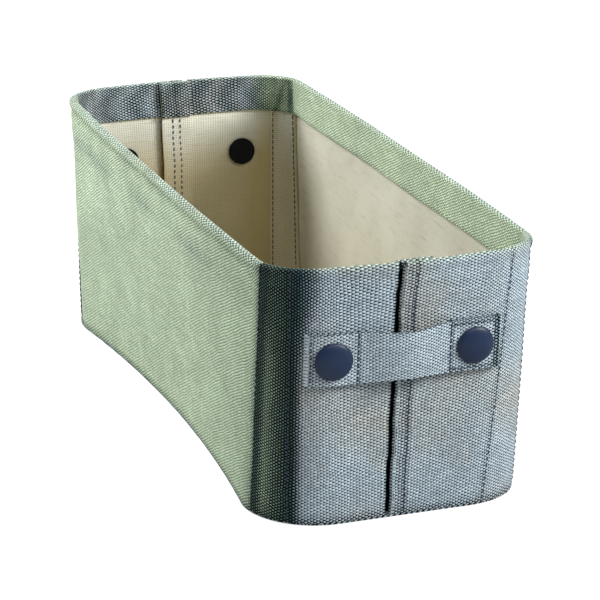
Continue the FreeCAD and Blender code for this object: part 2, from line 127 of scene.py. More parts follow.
# The highest stitches outside and inside, and how many points a row of them has.
ROW_TOP = 141.0
INSIDE_TOP = 120.0
ROW_POINTS = 60
BAR_POINTS = 12

# The floor's and a lap fold's flat sizes in metres, as width and length.
BASE_FLAT = (0.153, 0.380)
LAP_FLAT = (0.142, 0.016)

# The rear end is the front one turned by half a turn.
ENDS = (("front", False), ("rear", True))

COLOUR = {"subtype": "COLOR", "size": 4}


def linear(text):
    """sRGB hex to a linear colour: each channel is ((c + 0.055) / 1.055) to the power 2.4."""
    channels = np.array([int(text[index:index + 2], 16) for index in (1, 3, 5)]) / 255.0
    curve = np.where(channels <= 0.04045, channels / 12.92, ((channels + 0.055) / 1.055) ** 2.4)
    return (*curve.tolist(), 1.0)


class BinShape(bpy.types.PropertyGroup):
    """Sizes of the bin's wall, which the routes follow."""

    rim_length: bpy.props.FloatProperty(
        name="Rim length", description="Length over the rim", default=0.390, unit="LENGTH")
    rim_width: bpy.props.FloatProperty(
        name="Rim width", description="Width over the rim at the corners", default=0.152, unit="LENGTH")
    base_length: bpy.props.FloatProperty(
        name="Base length", description="Length over the base", default=0.377, unit="LENGTH")
    base_width: bpy.props.FloatProperty(
        name="Base width", description="Width over the base at the corners", default=0.151, unit="LENGTH")
    height: bpy.props.FloatProperty(
        name="Height", description="Floor to the top of the rim fold", default=0.143, unit="LENGTH")
    rim_bow: bpy.props.FloatProperty(
        name="Rim bow", description="How far the long rim bows out", default=0.0027, unit="LENGTH")
    base_draw: bpy.props.FloatProperty(
        name="Base draw", description="How far the long base edge draws in", default=0.0096, unit="LENGTH")
    end_bow: bpy.props.FloatProperty(
        name="End bow", description="How far the rim of an end bows out", default=0.0026, unit="LENGTH")
    slack: bpy.props.FloatProperty(
        name="Slack", description="Height of the soft waves in the cloth", default=0.0005, unit="LENGTH")


class BinCloth(bpy.types.PropertyGroup):
    """Weave and thread sizes."""

    knot_pitch: bpy.props.FloatProperty(
        name="Knot pitch", description="From knot to knot along a row of the weave", default=0.0033,
        unit="LENGTH")
    row_pitch: bpy.props.FloatProperty(
        name="Row pitch", description="From one row of the weave to the next", default=0.00088,
        unit="LENGTH")
    rib_pitch: bpy.props.FloatProperty(
        name="Rib pitch", description="Ribs of weave under the coating", default=0.0013, unit="LENGTH")
    stitch_length: bpy.props.FloatProperty(
        name="Stitch length", description="Length of one stitch", default=0.0024, unit="LENGTH")
    stitch_pitch: bpy.props.FloatProperty(
        name="Stitch pitch", description="Distance from stitch to stitch", default=0.0036, unit="LENGTH")


class BinColours(bpy.types.PropertyGroup):
    """Colours of the cloth, thread and metal, as they look in plain light; the sage of the sides and the
    slate of the ends also carry, in part, the tints of the light falling on each.
    """

    sage_knot: bpy.props.FloatVectorProperty(
        name="Sage knots", description="Raised threads of the side panels",
        default=linear("#dfeed2"), **COLOUR)
    sage_ground: bpy.props.FloatVectorProperty(
        name="Sage ground", description="Shaded threads of the side panels",
        default=linear("#5f7a5c"), **COLOUR)
    worn_knot: bpy.props.FloatVectorProperty(
        name="Worn knots", description="Faded patches of the end panels",
        default=linear("#cdd0c8"), **COLOUR)
    slate_knot: bpy.props.FloatVectorProperty(
        name="Slate knots", description="Raised threads of the end panels",
        default=linear("#c9dbe4"), **COLOUR)
    slate_ground: bpy.props.FloatVectorProperty(
        name="Slate ground", description="Shaded threads of the end panels",
        default=linear("#172334"), **COLOUR)
    coating: bpy.props.FloatVectorProperty(
        name="Coating", description="Coated backing inside the bin", default=linear("#d6d6ca"), **COLOUR)
    coating_shade: bpy.props.FloatVectorProperty(
        name="Coating shade", description="Valleys and slubs of the backing",
        default=linear("#8f8a74"), **COLOUR)
    # Painted warm shade, low down inside the bin and along the seams, is mixed towards this brown.
    coating_warm_shade: bpy.props.FloatVectorProperty(
        name="Coating soil", description="Brown of handling low down and along the seams",
        default=linear("#a28f59"), **COLOUR)
    thread: bpy.props.FloatVectorProperty(
        name="Thread", description="Sewing thread", default=linear("#2b3856"), **COLOUR)
    raw_edge: bpy.props.FloatVectorProperty(
        name="Raw edge", description="Cut edges of the cloth", default=linear("#352a1e"), **COLOUR)
    enamel: bpy.props.FloatVectorProperty(
        name="Enamel", description="Rivet caps", default=linear("#0a2240"), **COLOUR)
    disc_enamel: bpy.props.FloatVectorProperty(
        name="Disc enamel", description="Rivet discs inside", default=linear("#080a0f"), **COLOUR)


# Routes and profiles


def smooth(low, high, value):
    """Eases from 0 to 1 between low and high: three t squared less two t cubed."""
    share = np.clip((value - low) / (high - low), 0.0, 1.0)
    return share * share * (3.0 - 2.0 * share)


def bump_at(value, middle, width):
    """A bell round a middle: e to the power of minus the squared distance over the width."""
    return np.exp(-(((value - middle) / width) ** 2))


def wall_sizes(height):
    """Half width, half length, corner radii along X and Y and the two bows, at each height."""
    shape = bpy.context.scene.bin_shape
    share = height / (shape.height / MM)

    def between(at_base, at_rim):
        return (at_base + (at_rim - at_base) * share) / MM

    return (
        between(shape.base_width, shape.rim_width) / 2,
        between(shape.base_length, shape.rim_length) / 2,
        between(FLOOR_RADIUS, RIM_RADIUS_X),
        between(FLOOR_RADIUS, RIM_RADIUS_Y),
        between(-shape.base_draw, shape.rim_bow),
        smooth(110.0, RIM, height) * shape.end_bow / MM,
    )


def corner(side, end, first, last, count):
    """A turn of the corner between a side and an end, in degrees from the side."""

    def run(height, level):
        half_x, half_y, radius_x, radius_y, _, _ = wall_sizes(height)
        turn = np.radians(np.linspace(first, last, count))
        # A slanting row gives its first and last turn height by height, and has its rows already.
        turn = turn[:, None] if turn.ndim == 1 else turn
        normal_x = np.cos(turn) / radius_x
        normal_y = np.sin(turn) / radius_y
        size = np.hypot(normal_x, normal_y)
        x = half_x - radius_x + radius_x * np.cos(turn) - level * normal_x / size
        y = half_y - radius_y + radius_y * np.sin(turn) - level * normal_y / size
        return side * x, end * y

    return run


def along_side(side, count):
    """A bowed long side: the bow falls off as the square from its middle."""

    def run(height, level):
        half_x, half_y, _, radius_y, bow, _ = wall_sizes(height)
        share = np.linspace(-1, 1, count)[:, None]
        return side * (half_x + bow * (1 - share**2) - level), share * (half_y - radius_y)

    return run


def along_end(first, last, count, step=0.0):
    """A stretch of the front end between two X. None stands for where the corner starts."""

    def run(height, level):
        half_x, half_y, radius_x, _, _, bow = wall_sizes(height)
        reach = half_x - radius_x
        start = -reach if first is None else first + lap_shift(height)
        stop = reach if last is None else last + lap_shift(height)
        share = np.linspace(0.0, 1.0, count)[:, None]
        x = start + (stop - start) * share
        fall = np.clip(x / reach, -1, 1) ** 2
        inwards = level + step * smooth(STEP_START, STEP_END, x - lap_shift(height))
        return x + 0 * level, inwards - half_y - bow * (1 - fall)

    return run


def end_share(y):
    """How far a point belongs to an end wall rather than to a side."""
    return smooth(150.0, 186.0, np.abs(y))


def run_length(step):
    """Distances along a route: the running sum of its steps, from nought."""
    return np.concatenate([[0.0], np.cumsum(step)])


def waves(x, y, z):
    """Soft waves pushed along the wall's normal: products of long sines, still at the floor."""
    slack = bpy.context.scene.bin_shape.slack / MM
    push = np.sin(0.043 * y + 0.8) * np.sin(0.050 * z + 0.02 * x + 0.4)
    push = push + 0.6 * np.sin(0.021 * y - 0.034 * x + 2.1) * np.sin(0.09 * z + 1.3)
    push = push + 0.35 * np.sin(0.11 * x + 0.5) * np.sin(0.07 * z - 0.6)
    return slack * push * smooth(0.0, 40.0, z) * (1.0 - 0.75 * end_share(y))


def settled(x, y, height):
    """The front right corner spreads at the floor, where the filled bin has pushed it out."""
    weight = smooth(28.0, 76.0, x) * smooth(140.0, 188.0, -y) * np.clip(1 - height / RIM, 0, 1) ** 1.2
    return x + SPREAD_X * weight, y - SPREAD_Y * weight


def carry(runs, height, level):
    """Points of a profile carried along a route, as rows along the route, with its distances."""
    pieces = [run(height[None, :], level) for run in runs]
    x, y = (np.concatenate([np.broadcast_to(piece[axis], (len(piece[axis]), len(height)))
                            for piece in pieces]) for axis in (0, 1))
    keep = np.ones(len(x), bool)
    keep[1:] = np.hypot(np.diff(x[:, 0]), np.diff(y[:, 0])) > 1e-4
    x, y = x[keep], y[keep]
    z = np.broadcast_to(height[None, :], x.shape)
    along_x = smooth(0.0, 60.0, np.abs(x)) * np.sign(x)
    push = waves(x, y, z)
    at_end = end_share(y)
    x = x + push * along_x * (1.0 - at_end)
    y = y + push * np.sign(y) * at_end
    x, y = settled(x, y, z)
    distance = run_length(np.hypot(np.diff(x[:, 0]), np.diff(y[:, 0])))
    return np.stack([x, y, z], axis=-1) * MM, distance


def half_turn(points, turned=True):
    """The same points at the rear end, X and Y with changed signs. Those of the front stay."""
    return points * np.array([-1.0, -1.0, 1.0]) if turned else points


def climb(foot, top, count):
    """Heights from the foot to the top, closer together near the top for the roll of the rim."""
    return np.concatenate([np.linspace(foot, ROLL_START, count), np.linspace(ROLL_START, top, 13)[1:]])


def hooked_profile(foot, face, back):
    """Closed profile of a folded panel between two levels: up, over the rim, down the hem and back."""
    top = bpy.context.scene.bin_shape.height / MM
    middle = HEM / 2
    outer, inner = middle - face, middle - back
    turn = np.linspace(np.pi, 0.0, 13)
    inner_turn = turn[::-1]
    up, down = climb(foot, top - middle, 34), climb(foot, top - middle, 14)[::-1]
    parts = [
        np.stack([np.full(len(up), face), up]),
        np.stack([middle + outer * np.cos(turn), top - middle + outer * np.sin(turn)])[:, 1:],
        np.stack([np.full(10, HEM - face), np.linspace(top - middle, HEM_FOOT + 0.3, 10)])[:, 1:],
        np.array([[HEM - face - 0.15, HEM - back + 0.15], [HEM_FOOT, HEM_FOOT]]),
        np.stack([np.full(5, HEM - back), np.linspace(HEM_FOOT + 0.3, top - middle, 5)]),
        np.stack([middle + inner * np.cos(inner_turn), top - middle + inner * np.sin(inner_turn)])[:, 1:],
        np.stack([np.full(len(down), back), down])[:, 1:],
    ]
    return np.concatenate(parts, axis=1)


def slab_profile(near, far, foot, top, count):
    """Closed profile of a flat layer between two levels, with softened top and bottom edges."""
    heights = np.linspace(foot, top, count)
    soft = 0.25 * (far - near)
    face = np.concatenate([[far - soft], np.full(count - 2, far), [far - soft]])
    back = np.concatenate([[near + soft], np.full(count - 2, near), [near + soft]])
    return np.stack([np.concatenate([back, face[::-1]]), np.concatenate([heights, heights[::-1]])])


def pinched(level, height, rolled=1.0):
    """Draws the foot in where the base seam's thread pulls it, and swells the fold of the rim."""
    seam = 0.7 * bump_at(height, BASE_SEAM, 0.9**0.5)
    roll = 0.85 * bump_at(height, RIM - 2.6, 2.0) - 0.4 * bump_at(height, RIM - 7.0, 3.0**0.5)
    hem = 0.35 * smooth(HEM_FOOT - 4.0, HEM_FOOT + 1.0, height)
    return (level + seam - (rolled * roll + hem) * (level < HEM / 2))[None, :]


# Meshes


def tube_faces(rings, around):
    """Faces of a tube: the cells between its rings, then a cap at each end."""
    row = np.arange(rings - 1)[:, None] * around
    here = np.arange(around)[None, :]
    after = (here + 1) % around
    cells = np.stack([row + here, row + after, row + around + after, row + around + here], axis=-1)
    last = [(rings - 1) * around + index for index in range(around)]
    return cells.reshape(-1, 4).tolist() + [list(range(around))[::-1], last]


def volume(vertices, faces):
    """Signed volume: the sum of each fan triangle's triple product over six."""
    total = 0.0
    sizes = np.array([len(face) for face in faces])
    for size in np.unique(sizes):
        block = np.array([face for face in faces if len(face) == size])
        first = vertices[block[:, 0]]
        for index in range(1, size - 1):
            cross = np.cross(vertices[block[:, index]], vertices[block[:, index + 1]])
            total += float(np.einsum("ij,ij->", first, cross))
    return total / 6.0


def make_piece(name, vertices, faces, material, flat_uv=None, marks=None, crease=50.0):
    """A mesh object at the origin, its faces outwards, smooth but for edges sharper than crease."""
    faces = [tuple(face) for face in faces]
    if volume(vertices, faces) < 0:
        faces = [face[::-1] for face in faces]
    mesh = bpy.data.meshes.new(name)
    mesh.from_pydata(vertices.tolist(), [], faces)
    if flat_uv is not None:
        corners = np.empty(len(mesh.loops), dtype=np.int32)
        mesh.loops.foreach_get("vertex_index", corners)
        layer = mesh.uv_layers.new(name="cloth")
        layer.data.foreach_set("uv", flat_uv.reshape(-1, 2)[corners].astype(np.float32).ravel())
    for key, mark in (marks or {}).items():
        values = mesh.attributes.new(key, "FLOAT", "POINT")
        values.data.foreach_set("value", np.ascontiguousarray(mark, dtype=np.float32).ravel())
    mesh.polygons.foreach_set("use_smooth", np.ones(len(mesh.polygons), dtype=bool))
    mesh.set_sharp_from_angle(angle=np.radians(crease))
    mesh.validate()
    piece = bpy.data.objects.new(name, mesh)
    bpy.context.scene.collection.objects.link(piece)
    mesh.materials.append(material)
    return piece


def make_sheet(name, points, distance, profile, material, marks, swap=False, mirror=False):
    """A closed sheet from rows of a profile, with flat ends. UV is its real size in metres."""
    rows, columns = points.shape[:2]
    rise = run_length(np.hypot(np.diff(profile[0]), np.diff(profile[1])))
    if mirror:
        distance = -distance
    along = np.broadcast_to(distance[:, None], (rows, columns)) * MM
    up = np.broadcast_to(rise[None, :], (rows, columns)) * MM
    flat_uv = np.stack([up, along] if swap else [along, up], axis=-1)
    return make_piece(name, points.reshape(-1, 3), tube_faces(rows, columns), material, flat_uv, marks)


def scattered(name, shape, faces, centres, along, outwards, material):
    """Copies of one small shape, each turned so that its X runs along and its Z outwards."""
    along = along / np.linalg.norm(along, axis=1, keepdims=True)
    outwards = outwards - along * np.einsum("ij,ij->i", outwards, along)[:, None]
    outwards = outwards / np.linalg.norm(outwards, axis=1, keepdims=True)
    across = np.cross(outwards, along)
    axes = np.stack([along, across, outwards], axis=1)
    vertices = np.einsum("vk,skj->svj", shape, axes) + centres[:, None, :]
    count = len(shape)
    blocks = [np.asarray(face)[None, :] + count * np.arange(len(centres))[:, None] for face in faces]
    cells = [tuple(row) for block in blocks for row in block.tolist()]
    return make_piece(name, vertices.reshape(-1, 3), cells, material, crease=80.0)


def thread_loop(length, thick):
    """One stitch lying on cloth: a six-sided bead whose radius is thick times a flat arch."""
    share = np.array([0.0, 0.12, 0.5, 0.88, 1.0])
    radius = thick / 2 * np.array([0.35, 0.8, 1.0, 0.8, 0.35])
    turn = np.arange(6) * np.pi / 3
    x = np.repeat((share - 0.5) * length, 6)
    y = (radius[:, None] * np.cos(turn)).ravel()
    z = (radius[:, None] * np.sin(turn)).ravel() + np.repeat(thick * (0.3 - 1.2 * (share - 0.5) ** 2), 6)
    return np.stack([x, y, z], axis=-1), tube_faces(5, 6)


def turned_profile(radii, depths, count):
    """A profile turned about its axis: rings of points, of which the first and last are small and closed."""
    turn = np.arange(count) * 2 * np.pi / count
    across, up = radii[:, None] * np.cos(turn)[None, :], radii[:, None] * np.sin(turn)[None, :]
    rings = np.stack([across, np.repeat(depths[:, None], count, axis=1), up], axis=-1)
    return rings.reshape(-1, 3), tube_faces(len(radii), count)


# Materials

# Noise scales are per metre: 1000 over the scale is the size of a patch in millimetres.
# A map range takes its value, then the ends of the range it reads and of the one it gives.
# In a colour mix, 0 is the share, and 6 and 7 are the colours that it goes between.


def add(tree, kind, *values, **settings):
    """A node with its settings and its links or values, in the order of its sockets or keyed by them.

    A node given as a value stands for the first of its outputs in use.
    """
    item = tree.nodes.new("ShaderNode" + kind)
    for key, value in settings.items():
        setattr(item, key, value)
    sockets = values[0] if values and isinstance(values[0], dict) else dict(enumerate(values))
    for key, value in sockets.items():
        is_node = isinstance(value, bpy.types.Node)
        source = next(output for output in value.outputs if output.enabled) if is_node else value
        if isinstance(source, bpy.types.NodeSocket):
            tree.links.new(source, item.inputs[key])
        else:
            item.inputs[key].default_value = source
    return item


def new_material(name):
    """An empty node material and its tree."""
    material = bpy.data.materials.new(name)
    material.use_nodes = True
    material.node_tree.nodes.clear()
    return material, material.node_tree


def finish_material(tree, colour, roughness, height, depth, sheen=0.0, specular=0.5, metallic=0.0):
    """Principled surface with a bump whose depth is in metres."""
    normal = add(tree, "Bump", {"Height": height, "Distance": depth})
    links = {"Base Color": colour, "Roughness": roughness, "Normal": normal, "Sheen Weight": sheen,
             "Sheen Roughness": 0.5, "Specular IOR Level": specular, "Metallic": metallic}
    surface = add(tree, "BsdfPrincipled", links)
    add(tree, "OutputMaterial", {"Surface": surface})


def knotted_canvas(name, warm=0.9):
    """Coarse plain-weave cotton canvas: pale thread knots, staggered row by row, on shaded ground.

    The knots are the crests of three sine waves across the cloth: two that cross, and their sum,
    which lags by a sixth of a turn, because each knot leans with the twist of its yarn.
    """
    cloth = bpy.context.scene.bin_cloth
    colours = bpy.context.scene.bin_colours
    material, tree = new_material(name)
    flat = add(tree, "UVMap", uv_map="cloth")
    # A slow wander keeps the rows from being ruler-straight.
    wander = add(tree, "TexNoise", {"Vector": flat, "Scale": 90.0, "Detail": 2.0})
    centred = add(tree, "VectorMath", wander.outputs["Color"], (0.5, 0.5, 0.5), operation="SUBTRACT")
    bent = add(tree, "VectorMath", centred, (0.0022, 0.0016, 0.0), operation="MULTIPLY")
    place = add(tree, "VectorMath", flat, bent, operation="ADD")
    along, up = 1 / cloth.knot_pitch, 1 / (2 * cloth.row_pitch)
    turns, crests = [], []
    for wave, strength, lag in (((along, up, 0.0), 0.38, 0.0), ((along, -up, 0.0), 0.37, 0.0),
                                ((2 * along, 0.0, 0.0), 0.25, 0.167)):
        turn = add(tree, "VectorMath", place, wave, operation="DOT_PRODUCT")
        turns.append(turn)
        angle = add(tree, "Math", turn, 2 * np.pi, -2 * np.pi * lag, operation="MULTIPLY_ADD")
        crest = add(tree, "Math", angle, operation="COSINE")
        crests.append(add(tree, "Math", crest, strength, operation="MULTIPLY"))
    crossed = add(tree, "Math", *crests[:2], operation="ADD")
    weave = add(tree, "Math", crossed, crests[2], operation="ADD")
    cells = [add(tree, "Math", turn, operation="ROUND") for turn in turns[:2]]
    cell_name = add(tree, "CombineXYZ", *cells)
    chance = add(tree, "TexWhiteNoise", {"Vector": cell_name}, noise_dimensions="2D")
    knot = add(tree, "MapRange", weave, -0.66, 0.30, interpolation_type="SMOOTHSTEP")
    lively = add(tree, "MapRange", chance, 0.0, 1.0, 0.72)
    # Painted shade along seams, folds, puckers and corner strips narrows the knots; below nought it widens
    # them.
    marked = add(tree, "Attribute", attribute_name="shade").outputs["Fac"]
    narrow = add(tree, "Math", marked, 11.0, 1.0, operation="MULTIPLY_ADD")
    narrow = add(tree, "Math", narrow, 0.2, operation="MAXIMUM")
    point = add(tree, "Math", knot, narrow, operation="POWER")
    shown = add(tree, "Math", point, lively, operation="MULTIPLY")
    # Slubs: thick stretches of yarn, long along the weft, and the same the other way.
    slubs = []
    for stretch in ((55.0, 620.0, 1.0), (620.0, 45.0, 1.0)):
        yarn = add(tree, "VectorMath", flat, stretch, operation="MULTIPLY")
        slubs.append(add(tree, "TexNoise", {"Vector": yarn, "Scale": 1.0, "Detail": 2.0}))
    slub = add(tree, "Math", *slubs, operation="ADD")
    cloudy = add(tree, "TexNoise", {"Vector": flat, "Scale": 38.0, "Detail": 3.0})
    faded = add(tree, "TexNoise", {"Vector": flat, "Scale": 14.0, "Detail": 4.0})
    tint = add(tree, "Attribute", attribute_name="tint").outputs["Fac"]
    worn = add(tree, "MapRange", faded, 0.42, 0.62, 0.0, warm)
    slate_knot = add(tree, "Mix", {0: worn, 6: colours.slate_knot, 7: colours.worn_knot}, data_type="RGBA")
    knot_colour = add(tree, "Mix", {0: tint, 6: colours.sage_knot, 7: slate_knot}, data_type="RGBA")
    ground_colour = add(tree, "Mix", {0: tint, 6: colours.sage_ground, 7: colours.slate_ground},
                        data_type="RGBA")
    # Shade darkens the ground between the knots sooner than the knots.
    knots_kept = add(tree, "MapRange", marked, 0.0, 1.0, 1.0, 0.3, clamp=False)
    ground_kept = add(tree, "MapRange", marked, 0.0, 0.6, 1.0, 0.0)
    raised = add(tree, "VectorMath", {0: knot_colour, "Scale": knots_kept}, operation="SCALE")
    sunk = add(tree, "VectorMath", {0: ground_colour, "Scale": ground_kept}, operation="SCALE")
    woven = add(tree, "Mix", {0: shown, 6: sunk, 7: raised}, data_type="RGBA")
    tone = add(tree, "MapRange", slub, 0.7, 1.3, 0.88, 1.12)
    cloud = add(tree, "MapRange", cloudy, 0.3, 0.7, 0.9, 1.08)
    # Past nine tenths the mark stands for the painted shadow of a gap, and nothing shows in it.
    kept = add(tree, "MapRange", marked, 0.86, 0.95, 1.0, 0.02)
    shade = add(tree, "Math", tone, cloud, operation="MULTIPLY")
    shade = add(tree, "Math", shade, kept, operation="MULTIPLY")
    # Deep shade in this cloth is blue-green, not black.
    deep = add(tree, "MapRange", marked, 0.25, 0.9)
    cool = add(tree, "Mix", {0: deep, 6: (1.0, 1.0, 1.0, 1.0), 7: (0.48, 0.78, 0.82, 1.0)}, data_type="RGBA")
    cooled = add(tree, "VectorMath", woven, cool, operation="MULTIPLY")
    colour = add(tree, "VectorMath", {0: cooled, "Scale": shade}, operation="SCALE")
    height = add(tree, "Math", slub, 0.25, shown, operation="MULTIPLY_ADD")
    rough = add(tree, "MapRange", shown, 0.0, 1.0, 0.95, 0.82)
    # Knots stand 0.35 mm proud of the ground.
    finish_material(tree, colour, rough, height, 0.00035, sheen=0.02, specular=0.12)
    return material


def coated_backing(name, ribs=1.0):
    """Polyurethane coating over the back of the weave: matt, with the threads showing as ribs."""
    cloth = bpy.context.scene.bin_cloth
    colours = bpy.context.scene.bin_colours
    material, tree = new_material(name)
    flat = add(tree, "UVMap", uv_map="cloth")
    split = add(tree, "SeparateXYZ", flat)
    wave = add(tree, "Math", split.outputs["X"], 2 * np.pi / cloth.rib_pitch, operation="MULTIPLY")
    rib = add(tree, "Math", wave, operation="SINE")
    cross_wave = add(tree, "Math", split.outputs["Y"], 2 * np.pi / 0.0011, operation="MULTIPLY")
    cross = add(tree, "Math", cross_wave, operation="SINE")
    weft_place = add(tree, "VectorMath", flat, (60.0, 520.0, 1.0), operation="MULTIPLY")
    weft = add(tree, "TexNoise", {"Vector": weft_place, "Scale": 1.0, "Detail": 3.0})
    cloudy = add(tree, "TexNoise", {"Vector": flat, "Scale": 30.0, "Detail": 4.0})
    rib_tone = add(tree, "Math", rib, 0.20 * ribs, 0.22, operation="MULTIPLY_ADD")
    cross_tone = add(tree, "Math", cross, 0.04, rib_tone, operation="MULTIPLY_ADD")
    slub = add(tree, "MapRange", weft, 0.52, 0.78, 0.0, 0.28, interpolation_type="SMOOTHSTEP")
    patch = add(tree, "MapRange", cloudy, 0.35, 0.7, 0.0, 0.22)
    slub_tone = add(tree, "Math", slub, cross_tone, operation="ADD")
    tone = add(tree, "Math", slub_tone, patch, operation="ADD", use_clamp=True)
    clean = add(tree, "Mix", {0: tone, 6: colours.coating, 7: colours.coating_shade}, data_type="RGBA")
    # Painted warm shade makes it browner low down and along the stitching.
    marked = add(tree, "Attribute", attribute_name="shade").outputs["Fac"]
    colour = add(tree, "Mix", {0: marked, 6: clean, 7: colours.coating_warm_shade}, data_type="RGBA")
    # Below nought the mark stands for painted light, and past nine tenths for the painted shadow of a seam's
    # valley.
    painted_light_gain = add(tree, "MapRange", marked, -1.0, 0.0, 1.9, 1.0)
    valley = add(tree, "MapRange", marked, 0.9, 1.6, 1.0, 0.02)
    strength = add(tree, "Math", painted_light_gain, valley, operation="MULTIPLY")
    lit = add(tree, "VectorMath", {0: colour, "Scale": strength}, operation="SCALE")
    height = add(tree, "Math", rib, 0.5, cross, operation="MULTIPLY_ADD")
    rough = add(tree, "MapRange", cloudy, 0.0, 1.0, 0.62, 0.78)
    # The ribs stand about 0.06 mm proud.
    finish_material(tree, lit, rough, height, 0.00006, specular=0.3)
    return material


def sewing_thread(name, colour):
    """Twisted polyester thread: its twist shows as fine light and dark, with a little shine."""
    material, tree = new_material(name)
    place = add(tree, "TexCoord").outputs["Object"]
    twist = add(tree, "TexNoise", {"Vector": place, "Scale": 1400.0, "Detail": 2.0})
    shade = add(tree, "MapRange", twist, 0.3, 0.7, 0.75, 1.3)
    tone = add(tree, "VectorMath", {0: colour[:3], "Scale": shade}, operation="SCALE")
    finish_material(tree, tone, 0.7, twist, 0.00005, sheen=0.1)
    return material


def satin_enamel(name, colour, shine=0.4):
    """Baked enamel on a pressed steel cap: satin, slightly mottled, with faint orange peel."""
    material, tree = new_material(name)
    place = add(tree, "TexCoord").outputs["Object"]
    peel = add(tree, "TexNoise", {"Vector": place, "Scale": 900.0, "Detail": 2.0})
    mottled = add(tree, "TexNoise", {"Vector": place, "Scale": 160.0, "Detail": 3.0})
    shade = add(tree, "MapRange", mottled, 0.3, 0.7, 0.9, 1.12)
    tone = add(tree, "VectorMath", {0: colour[:3], "Scale": shade}, operation="SCALE")
    rough = add(tree, "MapRange", mottled, 0.0, 1.0, 0.36, 0.46)
    finish_material(tree, tone, rough, peel, 0.00003, specular=shine)
    return material


def drawn_steel(name):
    """Plain drawn steel of the rivet posts, with fine marks along the post."""
    material, tree = new_material(name)
    place = add(tree, "TexCoord").outputs["Object"]
    stretch = add(tree, "VectorMath", place, (3000.0, 120.0, 3000.0), operation="MULTIPLY")
    marks = add(tree, "TexNoise", {"Vector": stretch, "Scale": 1.0, "Detail": 2.0})
    rough = add(tree, "MapRange", marks, 0.0, 1.0, 0.3, 0.5)
    tone = add(tree, "MapRange", marks, 0.0, 1.0, 0.5, 0.62)
    finish_material(tree, tone, rough, marks, 0.00001, metallic=1.0)
    return material


def shared(name, maker, *details):
    """The material of that name, made once."""
    return bpy.data.materials.get(name) or maker(name, *details)


# Placing cloth, thread and hardware

# Marks painted as "shade": painted shade above nought, painted light below it. Canvas goes from the palest
# to its darkest, and a gap's painted shadow shows nothing. The coating goes up to deep painted warm shade,
# and past that to the painted shadow of a seam's valley.
PALEST = -0.4
DEEP = 0.86
CLOTH_DARK = 0.89
GAP = 0.97
VALLEY = 1.6


def on_end(x, height, level):
    """A point on the front wall by its X, its height and its level, waves included, in metres."""
    x, height, level = np.broadcast_arrays(x, height, level)
    half_x, half_y, radius_x, radius_y, _, bow = wall_sizes(height)
    reach = half_x - radius_x
    past = np.clip((np.abs(x) - reach) / radius_x, 0.0, 0.98)
    fall = np.clip(x / reach, -1, 1) ** 2
    y = radius_y * (1 - np.sqrt(1 - past**2)) - half_y - bow * (1 - fall)
    x, y = settled(x, y - waves(x, y, height) + level, height)
    return np.stack([x, y, height], axis=-1) * MM


def lap_shift(height):
    """The lap wanders: its folded edge stands further left at the floor than at the rim."""
    wander = 0.22 * np.sin(0.19 * height) + 0.12 * np.sin(0.53 * height + 1.0)
    return 0.8 * (2.0 * height / RIM - 1.0) + wander


def half_area(piece):
    """Area of a thin closed sheet: half the area of all its faces, in square metres."""
    areas = np.empty(len(piece.data.polygons), dtype=np.float32)
    piece.data.polygons.foreach_get("area", areas)
    return float(areas.sum()) / 2


def declare(piece, width, length, held, rests_on):
    """Works out a sheet's own flat area and keeps it nowhere; its width and length in metres are not used.
    """
    area = half_area(piece)


def settle(piece, nodes):
    """Puts a piece on the bin's body and hides the nodes that it stands in for."""
    if nodes:
        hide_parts(*nodes)
    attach(piece, "bin")


def lay_panel(name, runs, profile, material, rests_on, turned, paint, swap=False,
              held="folded", mirror=False, rolled=0.35):
    points, distance = carry(runs, profile[1], pinched(profile[0], profile[1], rolled))
    marks = paint(points / MM, profile[0])
    points = half_turn(points, turned)
    piece = make_sheet(name, points, distance, profile, material, marks, swap, mirror)
    settle(piece, [name])
    loop = np.concatenate([profile, profile[:, :1]], axis=1)
    around = np.hypot(np.diff(loop[0]), np.diff(loop[1])).sum()
    declare(piece, around / 2 * MM, distance[-1] * MM, held, rests_on)


def end_runs(part):
    """Route of a front half: the inner one from the left corner seam, the outer one to the right seam."""
    if part == "inner":
        return [corner(-1, -1, NEAR_SEAM, 90, 28), along_end(None, STEP_START, 30),
                along_end(STEP_START, STEP_END, 9, STEP), along_end(STEP_END, TONGUE, 18, STEP)]
    return [along_end(LAP_FOLD + HEM / 2, None, 44), corner(1, -1, 90, FAR_SEAM, 24)]


def side_runs():
    """Route of the left side: a turn of the near corner, the long side, a turn of the far one."""
    return [corner(-1, -1, NEAR_SEAM, 0, 8), along_side(-1, 120), corner(-1, 1, 0, FAR_SEAM, 12)]


def seam_place(height, side, degrees):
    """X of a corner seam at each height."""
    half_x, _, radius_x, _, _, _ = wall_sizes(height)
    return side * (half_x - radius_x + radius_x * np.cos(np.radians(degrees)))


def seam_along(height, end, degrees):
    """Y of a corner seam at each height."""
    _, half_y, _, radius_y, _, _ = wall_sizes(height)
    return end * (half_y - radius_y + radius_y * np.sin(np.radians(degrees)))


def foot_shade(height):
    """Shade of the pinched line that the base seam draws round the foot."""
    return 0.75 * bump_at(height, 2.4, 1.4)


